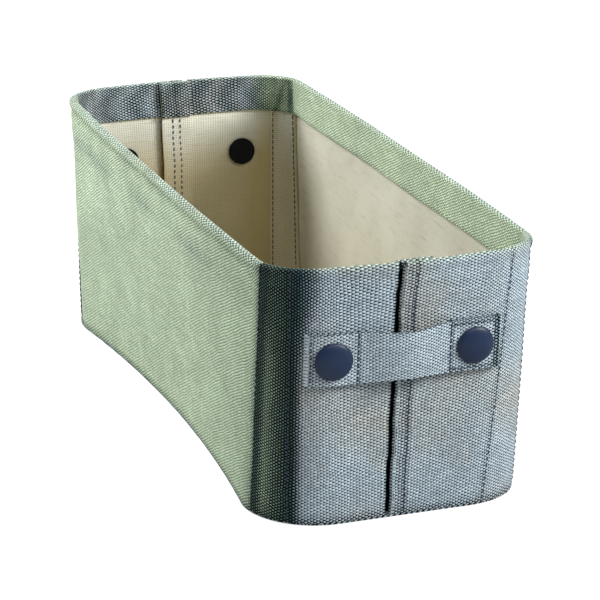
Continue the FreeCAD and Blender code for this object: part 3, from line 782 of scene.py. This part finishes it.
def paint_backing(points, level):
    """Painted warm shade low down and along the seam rows and the lap's valley, and painted light high on
    the end walls, alike at every level.
    """
    x, along, height = points[..., 0], points[..., 1], points[..., 2]
    _, half_y, _, radius_y, _, _ = wall_sizes(height)
    at_end = smooth(half_y - 0.8 * radius_y, half_y - 0.55 * radius_y, -along)
    # Painted warm shade low down, most on the end walls, where little light reaches inside.
    warm_shade = 0.28 * (1.0 - at_end) * (1.0 - smooth(5.0, 135.0, height)) ** 0.7
    warm_shade = warm_shade + 0.85 * at_end * (1.0 - smooth(76.0, 120.0, height))
    warm_shade = warm_shade * (0.88 + 0.12 * np.sin(0.05 * x + 0.04 * along))
    past_row = x - seam_place(height, -1, NEAR_ROW)
    # Painted light high on the end walls, up towards the hem.
    painted_light = 0.45 * (1.0 - 0.45 * smooth(5.0, 30.0, x)) * (1.0 - bump_at(past_row, 2.0, 11.0))
    warm_shade = np.minimum(warm_shade + 0.4 * at_end * bump_at(past_row, 4.0, 7.0), DEEP)
    # Painted shadow lines in the valleys along the seam rows and the corner seams, and by the tongue's edge.
    for side, degrees in ((-1, NEAR_ROW), (1, FAR_ROW)):
        warm_shade = np.maximum(warm_shade, 1.25 * bump_at(x, seam_place(height, side, degrees), 0.8) * at_end)
    for side, end, degrees in ((-1, -1, NEAR_SEAM), (-1, 1, FAR_SEAM), (1, -1, FAR_SEAM)):
        seam = bump_at(along, seam_along(height, end, degrees), 0.9)
        warm_shade = np.maximum(warm_shade, 1.3 * seam * (x * side > 0.0))
    warm_shade = warm_shade + 0.5 * bump_at(x, TONGUE + 0.4 + lap_shift(height), 1.2) * at_end
    warm_shade = warm_shade - painted_light * at_end * smooth(106.0, 119.0, height)
    return {"shade": np.clip(warm_shade, -0.5, VALLEY)}


def paint_seam(points, level):
    """The pressed seam edges carry less painted shade than the wall behind them."""
    shade = paint_backing(points, level)["shade"]
    return {"shade": np.where(shade < DEEP + 0.01, 0.6 * shade, shade)}


def paint_end(points, level):
    """Slate, with the sage of the sides past the near corner seam, and shade along the seams."""
    x, height = points[..., 0], points[..., 2]
    near_seam, near_row = (seam_place(height, -1, turn) for turn in (NEAR_SEAM, NEAR_ROW))
    far_seam = seam_place(height, 1, FAR_SEAM)
    far_row = seam_place(height, 1, FAR_ROW + ROW_LEAN * (1.0 - height / RIM))
    outside = level < 2.2
    # The side's sage gives way to slate past the near row of stitches.
    tint = 0.05 * smooth(near_seam + 1.0, near_seam + 6.0, x)
    tint = tint + 0.95 * smooth(near_row - 3.0, near_row + 4.0, x)
    tint = np.where(outside, tint, smooth(near_row + 3.0, near_row + 17.0, x))
    # Between the seam and its row of stitches the cloth has painted shade, more so towards the rim.
    dark = near_row + 5.0 + 11.0 * smooth(90.0, 140.0, height)
    rising = 0.40 + 0.36 * smooth(80.0, 132.0, height)
    rising = rising + (0.885 - rising) * smooth(near_seam + 2.0, near_row, x)
    shade = rising * (1.0 - smooth(near_row + 2.0, dark + 1.5, x)) * outside
    # Painted shade in the lines of the seams and rows, and beside the lap's fold.
    for place, depth, width in ((near_row + 1.0, 0.12, 1.8), (near_seam + 0.7, 0.7, 1.3),
                                (far_seam, 0.22, 0.9), (far_row, 0.14, 1.0)):
        shade = shade + depth * bump_at(x, place, width)
    by_fold = x - lap_shift(height)
    shade = shade + 0.3 * bump_at(by_fold, 1.0, 1.2) + 0.12 * bump_at(by_fold, -2.2, 1.7)
    shade = np.minimum(shade, CLOTH_DARK)
    # A little painted shade high on the left of the end.
    by_rim = smooth(98.0, 125.0, height) * (1.0 - smooth(-42.0, 0.0, x))
    shade = shade + 0.06 * by_rim * outside * (x > near_row)
    # The hem inside has painted shade, deeper past the near row and less to the right, with darker painted
    # puckers and faint streaks.
    puckers = 0.9 * bump_at(x, near_seam + 4.5, 1.1)
    puckers = puckers + 0.6 * bump_at(x, near_seam + 9.0 + 0.2 * (130 - height), 1.6)
    streaks = np.sin(0.31 * x + 1.3 * np.sin(0.23 * height))
    inside = 0.09 + 0.22 * smooth(near_seam + 6.0, near_row + 10.0, x) - 0.1 * smooth(-10.0, 45.0, x)
    inside = inside + 0.15 * bump_at(x, near_row - 2.0, 7.0) + 0.12 * streaks + 0.5 * puckers
    # The top of the rim fold gets a little painted shade, and leans towards sage.
    edge = bump_at(level, 1.75, 1.5) * smooth(RIM - 4.0, RIM - 1.0, height)
    shade = shade + inside * smooth(2.9, 3.5, level) + foot_shade(height) + 0.1 * edge
    return {"tint": tint * (1.0 - 0.5 * edge), "shade": np.clip(shade, PALEST, CLOTH_DARK)}


def paint_inner(points, level):
    """The inner half's paint, and the painted shadow where it steps in behind the folded edge."""
    marks = paint_end(points, level)
    place = points[..., 0] - lap_shift(points[..., 2])
    tongue = smooth(-10.0, -9.6, place)
    hidden = np.where(place > LAP_FOLD + 0.5, points[..., 2] < 139.0, points[..., 2] < 142.6)
    # The step, the whole tongue and the tongue's own edge each have a least painted shade; on the step it is
    # the gap's black painted shadow.
    for least in (GAP * tongue * (level < 1.2) * hidden, 0.15 * tongue, 0.8 * smooth(9.5, 10.2, place)):
        marks["shade"] = np.maximum(marks["shade"], least)
    return marks


def paint_side(points, level):
    """Sage, with cool shaded patches where the hem's edge shows through, in a few soft sines."""
    along, height = points[..., 1], points[..., 2]
    patch = 0.5 + 0.5 * np.sin(0.05 * along + 1.7 * np.sin(0.017 * along))
    ridge = bump_at(height, 119.0, 4.0)
    outside = level < 1.0
    # Painted shade: a shadow line under the rim's roll, more towards the front and low by the near seam,
    # along the corner seams and on the hem inside.
    shade = 0.08 * patch * ridge + 0.1 * bump_at(height, 135.6, 2.0) * outside
    shade = shade + 0.13 * (1.0 - smooth(-190.0, -30.0, along)) * outside + foot_shade(height)
    by_seam = (1.0 - smooth(-168.0, -118.0, along)) * (1.0 - smooth(8.0, 75.0, height))
    shade = shade + 0.09 * by_seam * outside
    # The top of the rim fold gets a little painted shade, and leans towards slate.
    edge = bump_at(level, 1.4, 1.6) * smooth(RIM - 4.0, RIM - 1.0, height)
    for end, degrees, depth in ((-1, NEAR_SEAM, 0.24), (1, FAR_SEAM, 0.3)):
        shade = shade + depth * bump_at(along, seam_along(height, end, degrees), 2.3) * outside
    shade = shade + 0.04 * smooth(2.9, 3.5, level) + 0.1 * edge
    return {"tint": 0.22 * patch * ridge + 0.5 * edge, "shade": np.clip(shade, PALEST, DEEP)}


def thread_rows(name, rows, material, turned=False, thick=0.8, cover=1.0):
    """Stitches along rows. A row is points and outward directions; both are resampled evenly."""
    cloth = bpy.context.scene.bin_cloth
    stitches = []
    for points, outward in rows:
        run = run_length(np.linalg.norm(np.diff(points, axis=0), axis=1))
        count = max(2, int(run[-1] / cloth.stitch_pitch))
        middle = (np.arange(count) + 0.5) * run[-1] / count
        centre, ahead, behind, face = (
            np.stack([np.interp(at, run, values[:, axis]) for axis in range(3)], axis=-1)
            for at, values in ((middle, points), (middle + MM, points), (middle - MM, points),
                               (middle, outward)))
        stitches.append((centre, ahead - behind, face))
    centres, along, outwards = (half_turn(np.concatenate(part), turned) for part in zip(*stitches))
    shape, faces = thread_loop(cloth.stitch_length * cover, thick * MM)
    settle(scattered(name, shape, faces, centres, along, outwards, material), [])


def upright_row(x, low, high, level, outwards=1.0):
    """A row of stitches up the front end at one X, with its outward directions."""
    height = np.linspace(low, high, ROW_POINTS)
    points = on_end(x + lap_shift(height), height, level)
    face = np.tile([0.0, -outwards, 0.0], (ROW_POINTS, 1))
    return points, face


def corner_row(side, degrees, low, high, level, outwards=1.0, lean=0.0):
    """A row of stitches up a front corner, at one turn of it, leaning over by some degrees."""
    height = np.linspace(low, high, ROW_POINTS)
    turn = degrees + lean * (1.0 - height / RIM)
    points, _ = carry([corner(side, -1, turn - 0.5, turn + 0.5, 3)], height,
                      pinched(np.full(ROW_POINTS, float(level)), height, 0.35))
    turn = np.radians(turn)
    face = np.stack([side * np.cos(turn), -np.sin(turn), 0.0 * turn], axis=-1) * outwards
    return points[1], face


def base_outline(height, level):
    """The closed outline of the bin at one height, drawn in by a level."""
    runs = [along_end(None, None, 24), corner(1, -1, 90, 0, 20), along_side(1, 60),
            corner(1, 1, 0, 90, 20)]
    points, _ = carry(runs, np.array([height]), level)
    front = points[:, 0]
    return np.concatenate([front, half_turn(front)])


def lay_base(name, level, low, high, material, rests_on):
    """A flat sheet inside the outline: rings of it shrunk towards the middle, top and bottom."""
    rim = base_outline(low, level)
    rim = rim[np.linalg.norm(rim - np.roll(rim, 1, axis=0), axis=1) > 1e-6]
    outwards = [0.12, 0.4, 0.65, 0.82, 0.93, 0.985, 0.998, 1.0]
    shares = np.array(outwards + outwards[::-1])
    round_off = 0.2 * (high - low)
    heights = np.array([low] * 7 + [low + round_off, high - round_off] + [high] * 7) * MM
    rings = rim[None, :, :] * shares[:, None, None]
    rings[..., 2] = heights[:, None]
    marks = {"tint": np.ones(rings.shape[:2]), "shade": np.full(rings.shape[:2], 0.25)}
    piece = make_piece(name, rings.reshape(-1, 3), tube_faces(len(shares), len(rim)), material,
                       rings[..., :2].copy(), marks)
    settle(piece, [name])
    declare(piece, *BASE_FLAT, "laid", rests_on)


# Handles


def strap_line(part):
    """Middle line of half a strap, in X and level, from its turned-under end to the middle.

    The bow rises as the sine of its share of the way, to the power of one and a half.
    """
    side = -1 if part == "left" else 1
    rivet = STRAP_SHIFT + side * RIVET_REACH
    out = rivet + side * 14.0
    inner = rivet - side * 13.3
    middle = (STRAP_UNDER + STRAP_OVER) / 2
    bend, round_off = 0.85, 1.25
    start = out - side * 1.65
    turn = np.linspace(-np.pi / 2, np.pi / 2, 11)
    under = np.stack([np.linspace(inner, start, 20), np.full(20, STRAP_UNDER)])
    fold = np.stack([start + side * round_off * np.cos(turn), middle - bend * np.sin(turn)])
    if part == "right":
        # The right end is cut, not folded: its two layers stop together.
        fold = np.stack([np.full(3, out - 0.4), np.array([STRAP_UNDER, middle, STRAP_OVER])])
    flat = np.stack([np.linspace(start, inner, 20), np.full(20, STRAP_OVER)])[:, 1:]
    share = np.linspace(0.0, 1.0, 34)[1:]
    rise = np.sin(np.pi / 2 * share) ** 1.5
    bow = np.stack([(STRAP_SHIFT - inner) * share + inner, STRAP_OVER - 5.4 * rise])
    return np.concatenate([under, fold, flat, bow], axis=1)


def paint_strap(x, rise, part):
    """Shade along the strap's edges and rows of stitches, and the dark cut of its right end."""
    rows = [bump_at(x, place, 0.7) for place in (*STRAP_ROWS, *STRAP_END_ROWS)]
    shade = 0.3 * smooth(0.95, 0.995, np.abs(rise)) + 0.2 * rows[0] + 0.3 * rows[1] + 0.12 * rows[2]
    if part == "left":
        shade = shade - 0.45 * (1.0 - smooth(-56.9, -56.2, x))
    if part == "right":
        shade = shade + 0.8 * smooth(46.9, 48.3, x) + 0.35 * rows[3]
        shade = shade + 0.3 * bump_at(np.abs(rise), 0.86, 0.05) * smooth(20.0, 23.0, x)
    return np.clip(shade, PALEST, DEEP)


def strap_half(name, part, nodes, material, turned):
    """Half a strap: a webbing section carried along its middle line, following the wall."""
    line = strap_line(part)
    line = line[:, np.concatenate([[True], np.hypot(*np.diff(line, axis=1)) > 1e-3])]
    way = np.gradient(line, axis=1)
    way = way / np.hypot(*way)
    across = np.stack([-way[1], way[0]])
    # The strap narrows as it leaves the wall.
    ride = np.clip((STRAP_OVER - line[1]) / 6.0, 0.0, 1.0)
    half_height = (STRAP_WIDTH - (STRAP_WIDTH - GRIP_WIDTH) * smooth(0.0, 1.0, ride)) / 2
    # Half the section: 22 points across the face between softened edges.
    half_thick = 0.8
    soft = half_thick * np.array([0.45, 0.9, 1.0])
    edge = np.array([0.975, 0.992, 1.0])
    thick = np.concatenate([soft, np.full(22, half_thick), soft[::-1]])
    rise = np.concatenate([-edge[::-1], np.linspace(-0.95, 0.95, 22), edge])
    offset = np.concatenate([thick, -thick[::-1]])
    rise = np.concatenate([rise, rise[::-1]])
    x = line[0][:, None] + across[0][:, None] * offset[None, :]
    level = line[1][:, None] + across[1][:, None] * offset[None, :]
    sag = -0.3 * ride[:, None] ** 2
    height = STRAP_LEVEL + sag + half_height[:, None] * rise[None, :]
    # The edges of the free middle curl a little towards the wall.
    level = level + 0.5 * ride[:, None] * rise[None, :] ** 4
    points = half_turn(on_end(x, height, level), turned)
    distance = run_length(np.hypot(*np.diff(line, axis=1)))
    # Both halves count from where they meet, so that the weave runs on.
    from_middle = distance - distance[-1] if part == "left" else distance[-1] - distance
    profile = np.stack([offset, rise * 14.0])
    marks = {"tint": np.ones(x.shape), "shade": paint_strap(x, rise[None, :], part)}
    piece = make_sheet(name, points, from_middle, profile, material, marks)
    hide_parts(*nodes)
    side = -1 if part == "left" else 1
    start = on_end(STRAP_SHIFT + side * BEND_START, STRAP_LEVEL, 0.0)
    end = on_end(STRAP_SHIFT + side * BEND_END, STRAP_LEVEL, 0.0)
    end[1] = start[1]
    start, end = half_turn(start, turned), half_turn(end, turned)
    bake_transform(piece)
    wall = nodes[0].split("_")[0] + "_outer_half_canvas"
    declare(piece, STRAP_WIDTH * MM, distance[-1] * MM, "stretched", [wall])


def rivet_frame(far):
    """Axes of a rivet on the front wall: along, inwards and up, with its place on the wall's face."""
    lean = Matrix.Rotation(WALL_LEAN, 3, "X")
    turn = Matrix.Rotation(0.0 if far else -NEAR_TURN, 3, "Z")
    axes = np.array(turn @ lean)
    x = STRAP_SHIFT + (RIVET_REACH if far else -RIVET_REACH)
    return axes, on_end(x, STRAP_LEVEL, 0.0)


def rivet_cap(name, far, turned):
    """A pressed cap: a rolled rim, a shallow step and a low dome, turned about the rivet."""
    edge = np.linspace(0.0, np.pi / 2, 6)
    rim_radius = CAP_RADIUS - 0.55 + 0.55 * np.cos(edge)
    rim_depth = -3.95 - 0.65 * np.sin(edge)
    dome_share = np.concatenate([np.linspace(1.0, 0.9, 6), np.linspace(0.88, 0.04, 14)])
    dome_radius = 9.55 * dome_share
    dome_depth = -4.6 - 2.2 * (1 - dome_share**2) ** 0.8
    radii = np.concatenate([[0.4, 9.6, 10.1, CAP_RADIUS], rim_radius[1:], dome_radius])
    depths = np.concatenate([[-3.5, -3.5, -3.55, -3.8], rim_depth[1:], dome_depth])
    shape, faces = turned_profile(radii, depths, 64)
    axes, place = rivet_frame(far)
    points = half_turn(shape @ axes.T * MM + place, turned)
    enamel = shared("enamelled steel, satin slate", satin_enamel, bpy.context.scene.bin_colours.enamel)
    return make_piece(name, points, faces, enamel, crease=40.0)


# Operators


class BIN_OT_side_panels(bpy.types.Operator):
    """Makes the two long side panels with their rim hems"""

    bl_idname = "soft_bin.side_panels"
    bl_label = "Side panels"

    def execute(self, context):
        canvas = shared("knotted canvas, slate and sage", knotted_canvas)
        profile = hooked_profile(FOOT, 0.0, CANVAS)
        for name, turned in (("left_side_canvas", False), ("right_side_canvas", True)):
            lay_panel(name, side_runs(), profile, canvas, ["base_canvas"], turned,
                      paint_side, mirror=True, rolled=1.0)
        return {"FINISHED"}


class BIN_OT_end_panels(bpy.types.Operator):
    """Makes the four half panels of the ends, with the folded edge of each lap"""

    bl_idname = "soft_bin.end_panels"
    bl_label = "End panels"

    def execute(self, context):
        canvas = shared("knotted canvas, slate and sage", knotted_canvas)
        profile = hooked_profile(FOOT, 0.0, CANVAS)
        for end, turned in ENDS:
            for part in ("inner", "outer"):
                name = f"{end}_{part}_half_canvas"
                lay_panel(name, end_runs(part), profile, canvas, ["base_canvas"], turned,
                          paint_inner if part == "inner" else paint_end)
            self.fold(f"{end}_lap_fold", end, canvas, turned)
        return {"FINISHED"}

    def fold(self, name, end, canvas, turned):
        """The folded edge: a hook of cloth round it, then flat behind it to the turn-under's edge."""
        top = bpy.context.scene.bin_shape.height / MM
        radius = HEM / 2
        turn = np.linspace(-90.0, 90.0, 15)
        arc = np.radians(turn)
        flat_x = np.linspace(LAP_FOLD + radius, LAP_UNDER, 8)[1:]
        tops = np.concatenate([np.where(turn < 70.0, top - 0.05, UNDER_HEM), np.full(7, UNDER_HEM)])
        share = np.linspace(0.0, 1.0, 60)
        ring = np.concatenate([np.full(60, radius), np.full(60, radius - CANVAS)])
        share = np.concatenate([share, share[::-1]])
        height = FOOT + (tops[:, None] - FOOT) * share[None, :]
        rounded = np.sqrt(np.clip(1 - (np.clip(height - top + radius, 0, None) / radius) ** 2, 0.02, 1))
        back = np.concatenate([np.cos(arc), np.zeros(7)])[:, None]
        depth = np.concatenate([np.sin(arc), np.ones(7)])[:, None]
        start = np.concatenate([np.full(15, LAP_FOLD + radius), flat_x])[:, None]
        x = start - back * ring[None, :] * rounded + lap_shift(height)
        level = radius + depth * ring[None, :] * rounded
        points = half_turn(on_end(x, height, level), turned)
        # The fold's side that faces into the gap carries the gap's painted shadow.
        marks = {"tint": np.ones(x.shape), "shade": 0.96 * smooth(0.7, 1.9, level)}
        distance = np.concatenate([arc + np.pi / 2, np.pi + flat_x - flat_x[0] + 1.0]) * 1.5
        profile = np.stack([ring, FOOT + (top - FOOT) * share])
        piece = make_sheet(name, points, distance, profile, canvas, marks)
        settle(piece, [])
        declare(piece, *LAP_FLAT, "folded", [f"{end}_outer_half_canvas"])


class BIN_OT_backings(bpy.types.Operator):
    """Makes the coated backing of every panel and the seam edges pressed flat in the corners"""

    bl_idname = "soft_bin.backings"
    bl_label = "Backings"

    def execute(self, context):
        coated = shared("polyurethane-coated backing, matt beige", coated_backing)
        seam = shared("coated seam edge, matt beige, ribs level", coated_backing, 1.8)
        profile = hooked_profile(BACKING_FOOT, BACKING, CLOTH)
        for front, rear, runs, rolled in (("left_side", "right_side", side_runs(), 1.0),
                                          ("front_inner_half", "rear_inner_half", end_runs("inner"), 0.35),
                                          ("front_outer_half", "rear_outer_half", end_runs("outer"), 0.35)):
            for name, turned in ((front, False), (rear, True)):
                lay_panel(f"{name}_backing", runs, profile, coated, [f"{name}_canvas"],
                          turned, paint_backing, rolled=rolled)
        pressed = slab_profile(CLOTH + 0.1, HEM_BACK - 0.1, BACKING_FOOT, UNDER_HEM, 40)
        near, far = corner(-1, -1, NEAR_SEAM, NEAR_ROW + 3, 16), corner(1, -1, FAR_SEAM, FAR_ROW + 3, 16)
        for name, run, turned in (("front_left", near, False), ("rear_right", near, True),
                                  ("front_right", far, False), ("rear_left", far, True)):
            lay_panel(f"{name}_seam_allowance", [run], pressed, seam, ["base_backing"],
                      turned, paint_seam, swap=True, held="stretched")
        return {"FINISHED"}


class BIN_OT_base(bpy.types.Operator):
    """Makes the canvas underneath and the coated layer that lies on it"""

    bl_idname = "soft_bin.base"
    bl_label = "Base"

    def execute(self, context):
        canvas = shared("knotted canvas, slate and sage", knotted_canvas)
        coated = shared("polyurethane-coated backing, matt beige", coated_backing)
        lay_base("base_canvas", 0.1, 0.0, CANVAS, canvas, [])
        lay_base("base_backing", 2.0, BACKING, CLOTH, coated, ["base_canvas"])
        return {"FINISHED"}


class BIN_OT_straps(bpy.types.Operator):
    """Makes the two strap handles, each in two halves that meet in the middle"""

    bl_idname = "soft_bin.straps"
    bl_label = "Straps"

    def execute(self, context):
        webbing = shared("knotted strap canvas, slate", knotted_canvas, 0.25)
        for end, turned in ENDS:
            for part in ("left", "right"):
                side = part if not turned else {"left": "right", "right": "left"}[part]
                nodes = [f"{end}_strap_{side}_tab", f"{end}_strap_grip"]
                strap_half(f"{end}_strap_{side}_half", part, nodes, webbing, turned)
        return {"FINISHED"}


class BIN_OT_rivets(bpy.types.Operator):
    """Makes the four domed rivet caps and finishes the posts and inner discs of the frame"""

    bl_idname = "soft_bin.rivets"
    bl_label = "Rivets"

    def execute(self, context):
        colours = context.scene.bin_colours
        for end, turned in ENDS:
            for place, far in (("near", False), ("far", True)):
                piece = rivet_cap(f"{end}_{place}_cap", far, turned)
                settle(piece, ["rivet_caps"])
        near_black = shared("enamelled steel, near black", satin_enamel, colours.disc_enamel, 0.1)
        steel = shared("drawn steel, plain", drawn_steel)
        for node, finish in (("rivet_discs", near_black), ("rivet_posts", steel)):
            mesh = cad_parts[node].data
            mesh.materials.clear()
            mesh.materials.append(finish)
        return {"FINISHED"}


class BIN_OT_stitching(bpy.types.Operator):
    """Sews the laps, the corners, the straps and the base"""

    bl_idname = "soft_bin.stitching"
    bl_label = "Stitching"

    def execute(self, context):
        colours = context.scene.bin_colours
        navy = shared("polyester thread, navy", sewing_thread, colours.thread)
        brown = shared("polyester thread, brown", sewing_thread, colours.raw_edge)
        share = np.linspace(-1.0, 1.0, BAR_POINTS)
        for end, turned in ENDS:
            thread_rows(f"{end}_lap_stitches", [upright_row(1.0, 3.0, ROW_TOP, 0.0)], navy, turned)
            lap = [upright_row(x, 3.0, INSIDE_TOP, STEP + CLOTH, -1.0) for x in (3.3, -1.4)]
            thread_rows(f"{end}_lap_stitches_inside", lap, navy, turned)
            outside = [corner_row(side, degrees, 2.0, ROW_TOP, 0.0, lean=lean)
                       for side, degrees, lean in ((-1, NEAR_SEAM, 0.0), (-1, NEAR_ROW, 0.0),
                                                   (1, FAR_SEAM, 0.0), (1, FAR_ROW, ROW_LEAN))]
            thread_rows(f"{end}_corner_stitches", outside, navy, turned, thick=0.6)
            inside = [corner_row(side, degrees, 3.0, INSIDE_TOP, HEM_BACK - 0.1, -1.0) for side, degrees in
                      ((-1, NEAR_ROW), (-1, NEAR_SEAM + 5.0), (1, FAR_SEAM + 5.0), (1, FAR_ROW))]
            thread_rows(f"{end}_corner_stitches_inside", inside, brown, turned, thick=0.8, cover=1.3)
            bars = [self.bar(x, STRAP_LEVEL + reach * share) for places, reach in
                    ((STRAP_ROWS, 13.8), (STRAP_END_ROWS, 12.2)) for x in places]
            # The right tab has a row along each of its long edges too.
            bars += [self.bar(34.0 + 11.5 * share, STRAP_LEVEL + rise) for rise in (-12.2, 12.2)]
            thread_rows(f"{end}_strap_stitches", bars, navy, turned, thick=0.7)
        rim = base_outline(BASE_SEAM, 0.75)
        rim = np.concatenate([rim, rim[:1]])
        step = np.linalg.norm(np.diff(rim, axis=0), axis=1)
        rim = rim[np.concatenate([[True], step > 1e-6])]
        way = np.gradient(rim, axis=0)
        face = np.stack([way[:, 1], -way[:, 0], 0 * way[:, 0]], axis=-1)
        face = face / np.linalg.norm(face, axis=1, keepdims=True)
        thread_rows("base_stitches", [(rim, face)], navy)
        return {"FINISHED"}

    def bar(self, x, height):
        """A short row of stitches over the strap, on its outer face."""
        return on_end(x, height, STRAP_FACE), np.tile([0.0, -1.0, 0.0], (BAR_POINTS, 1))


class BIN_OT_stage(bpy.types.Operator):
    """Sets up the floor, the soft lights, the surroundings and the camera"""

    bl_idname = "soft_bin.stage"
    bl_label = "Stage"

    def execute(self, context):
        scene = context.scene
        self.floor()
        self.lights(scene)
        self.surroundings(scene)
        self.camera(scene)
        scene.view_settings.view_transform = "Standard"
        return {"FINISHED"}

    def floor(self):
        """A wide pale floor just under the foot, white to the camera away from the bin's own shadow."""
        reach, level = 4.0, -0.0003
        vertices = [(x * reach, y * reach, level) for x, y in ((-1, -1), (1, -1), (1, 1), (-1, 1))]
        mesh = bpy.data.meshes.new("floor")
        mesh.from_pydata(vertices, [], [(0, 1, 2, 3)])
        plane = bpy.data.objects.new("floor", mesh)
        bpy.context.scene.collection.objects.link(plane)
        material, tree = new_material("paper floor, matt white")
        matt = add(tree, "BsdfDiffuse", {"Color": (0.45, 0.45, 0.45, 1.0)})
        glow = add(tree, "Emission", {"Color": (1.0, 1.0, 1.0, 1.0), "Strength": 0.75})
        both = add(tree, "AddShader", matt, glow)
        rays = add(tree, "LightPath")
        seen = add(tree, "MixShader", rays.outputs["Is Camera Ray"], matt, both)
        add(tree, "OutputMaterial", {"Surface": seen})
        mesh.materials.append(material)

    def lights(self, scene):
        """A large key from the front right, one opposite from the back left, a weak one above the front."""
        for name, place, power, size in (("key", (1.35, -1.05, 1.25), 50.0, 0.8),
                                         ("front", (0.2, -1.5, 1.6), 11.0, 1.0),
                                         ("fill", (-0.8, 1.0, 1.1), 40.0, 0.8)):
            light = bpy.data.lights.new(name, "AREA")
            light.energy = power
            light.size = size
            lamp = bpy.data.objects.new(name, light)
            lamp.location = place
            towards = Vector((0.0, 0.0, 0.07)) - Vector(place)
            lamp.rotation_euler = towards.to_track_quat("-Z", "Y").to_euler()
            scene.collection.objects.link(lamp)

    def surroundings(self, scene):
        """An even pale world, white behind the floor."""
        world = bpy.data.worlds.new("studio")
        scene.world = world
        world.use_nodes = True
        tree = world.node_tree
        tree.nodes.clear()
        rays = add(tree, "LightPath")
        strength = add(tree, "MapRange", rays.outputs["Is Camera Ray"], 0.0, 1.0, 0.18, 1.0)
        glow = add(tree, "Background", {"Color": (1.0, 1.0, 1.0, 1.0), "Strength": strength})
        add(tree, "OutputWorld", {"Surface": glow})

    def camera(self, scene):
        """The photograph's camera: its turn, height, roll and distance, fitted to the traced edges."""
        turn, rise, roll = np.radians([-20.703, 18.911, 0.527])
        aim, distance = np.array([0.0124, 0.0, 0.05714]), 1.5451
        back = np.array([np.sin(turn) * np.cos(rise), -np.cos(turn) * np.cos(rise), np.sin(rise)])
        level_right = np.cross(-back, [0.0, 0.0, 1.0])
        level_right = level_right / np.linalg.norm(level_right)
        level_up = np.cross(back, level_right)
        right = np.cos(roll) * level_right + np.sin(roll) * level_up
        up = -np.sin(roll) * level_right + np.cos(roll) * level_up
        data = bpy.data.cameras.new("camera")
        data.lens = 158.9
        data.sensor_width = 36.0
        data.clip_end = 30.0
        camera = bpy.data.objects.new("camera", data)
        turned = np.eye(4)
        turned[:3] = np.stack([right, up, back, aim + distance * back], axis=1)
        camera.matrix_world = Matrix(turned.tolist())
        scene.collection.objects.link(camera)
        scene.camera = camera


OPERATORS = (BIN_OT_side_panels, BIN_OT_end_panels, BIN_OT_backings, BIN_OT_base, BIN_OT_straps,
             BIN_OT_rivets, BIN_OT_stitching, BIN_OT_stage)


class BIN_PT_panel(bpy.types.Panel):
    """Sizes, colours and the steps that build the bin"""

    bl_idname = "BIN_PT_panel"
    bl_label = "Soft storage bin"
    bl_space_type = "VIEW_3D"
    bl_region_type = "UI"
    bl_category = "Bin"

    def draw(self, context):
        """Lists every size and colour, then every step."""
        for group in (context.scene.bin_shape, context.scene.bin_cloth, context.scene.bin_colours):
            column = self.layout.column()
            for key in type(group).__annotations__:
                column.prop(group, key)
        for operator in OPERATORS:
            self.layout.operator(operator.bl_idname)


CLASSES = (BinShape, BinCloth, BinColours, *OPERATORS, BIN_PT_panel)


def register():
    """Registers the classes and hangs the sizes and colours on the scene."""
    for item in CLASSES:
        bpy.utils.register_class(item)
    bpy.types.Scene.bin_shape = bpy.props.PointerProperty(type=BinShape)
    bpy.types.Scene.bin_cloth = bpy.props.PointerProperty(type=BinCloth)
    bpy.types.Scene.bin_colours = bpy.props.PointerProperty(type=BinColours)


def unregister():
    """Takes the classes and the scene's settings away again."""
    del bpy.types.Scene.bin_colours, bpy.types.Scene.bin_cloth, bpy.types.Scene.bin_shape
    for item in reversed(CLASSES):
        bpy.utils.unregister_class(item)


def main():
    register()
    for step in ("side_panels", "end_panels", "backings", "base", "straps", "rivets", "stitching", "stage"):
        getattr(bpy.ops.soft_bin, step)()


if __name__ == "__main__":
    main()
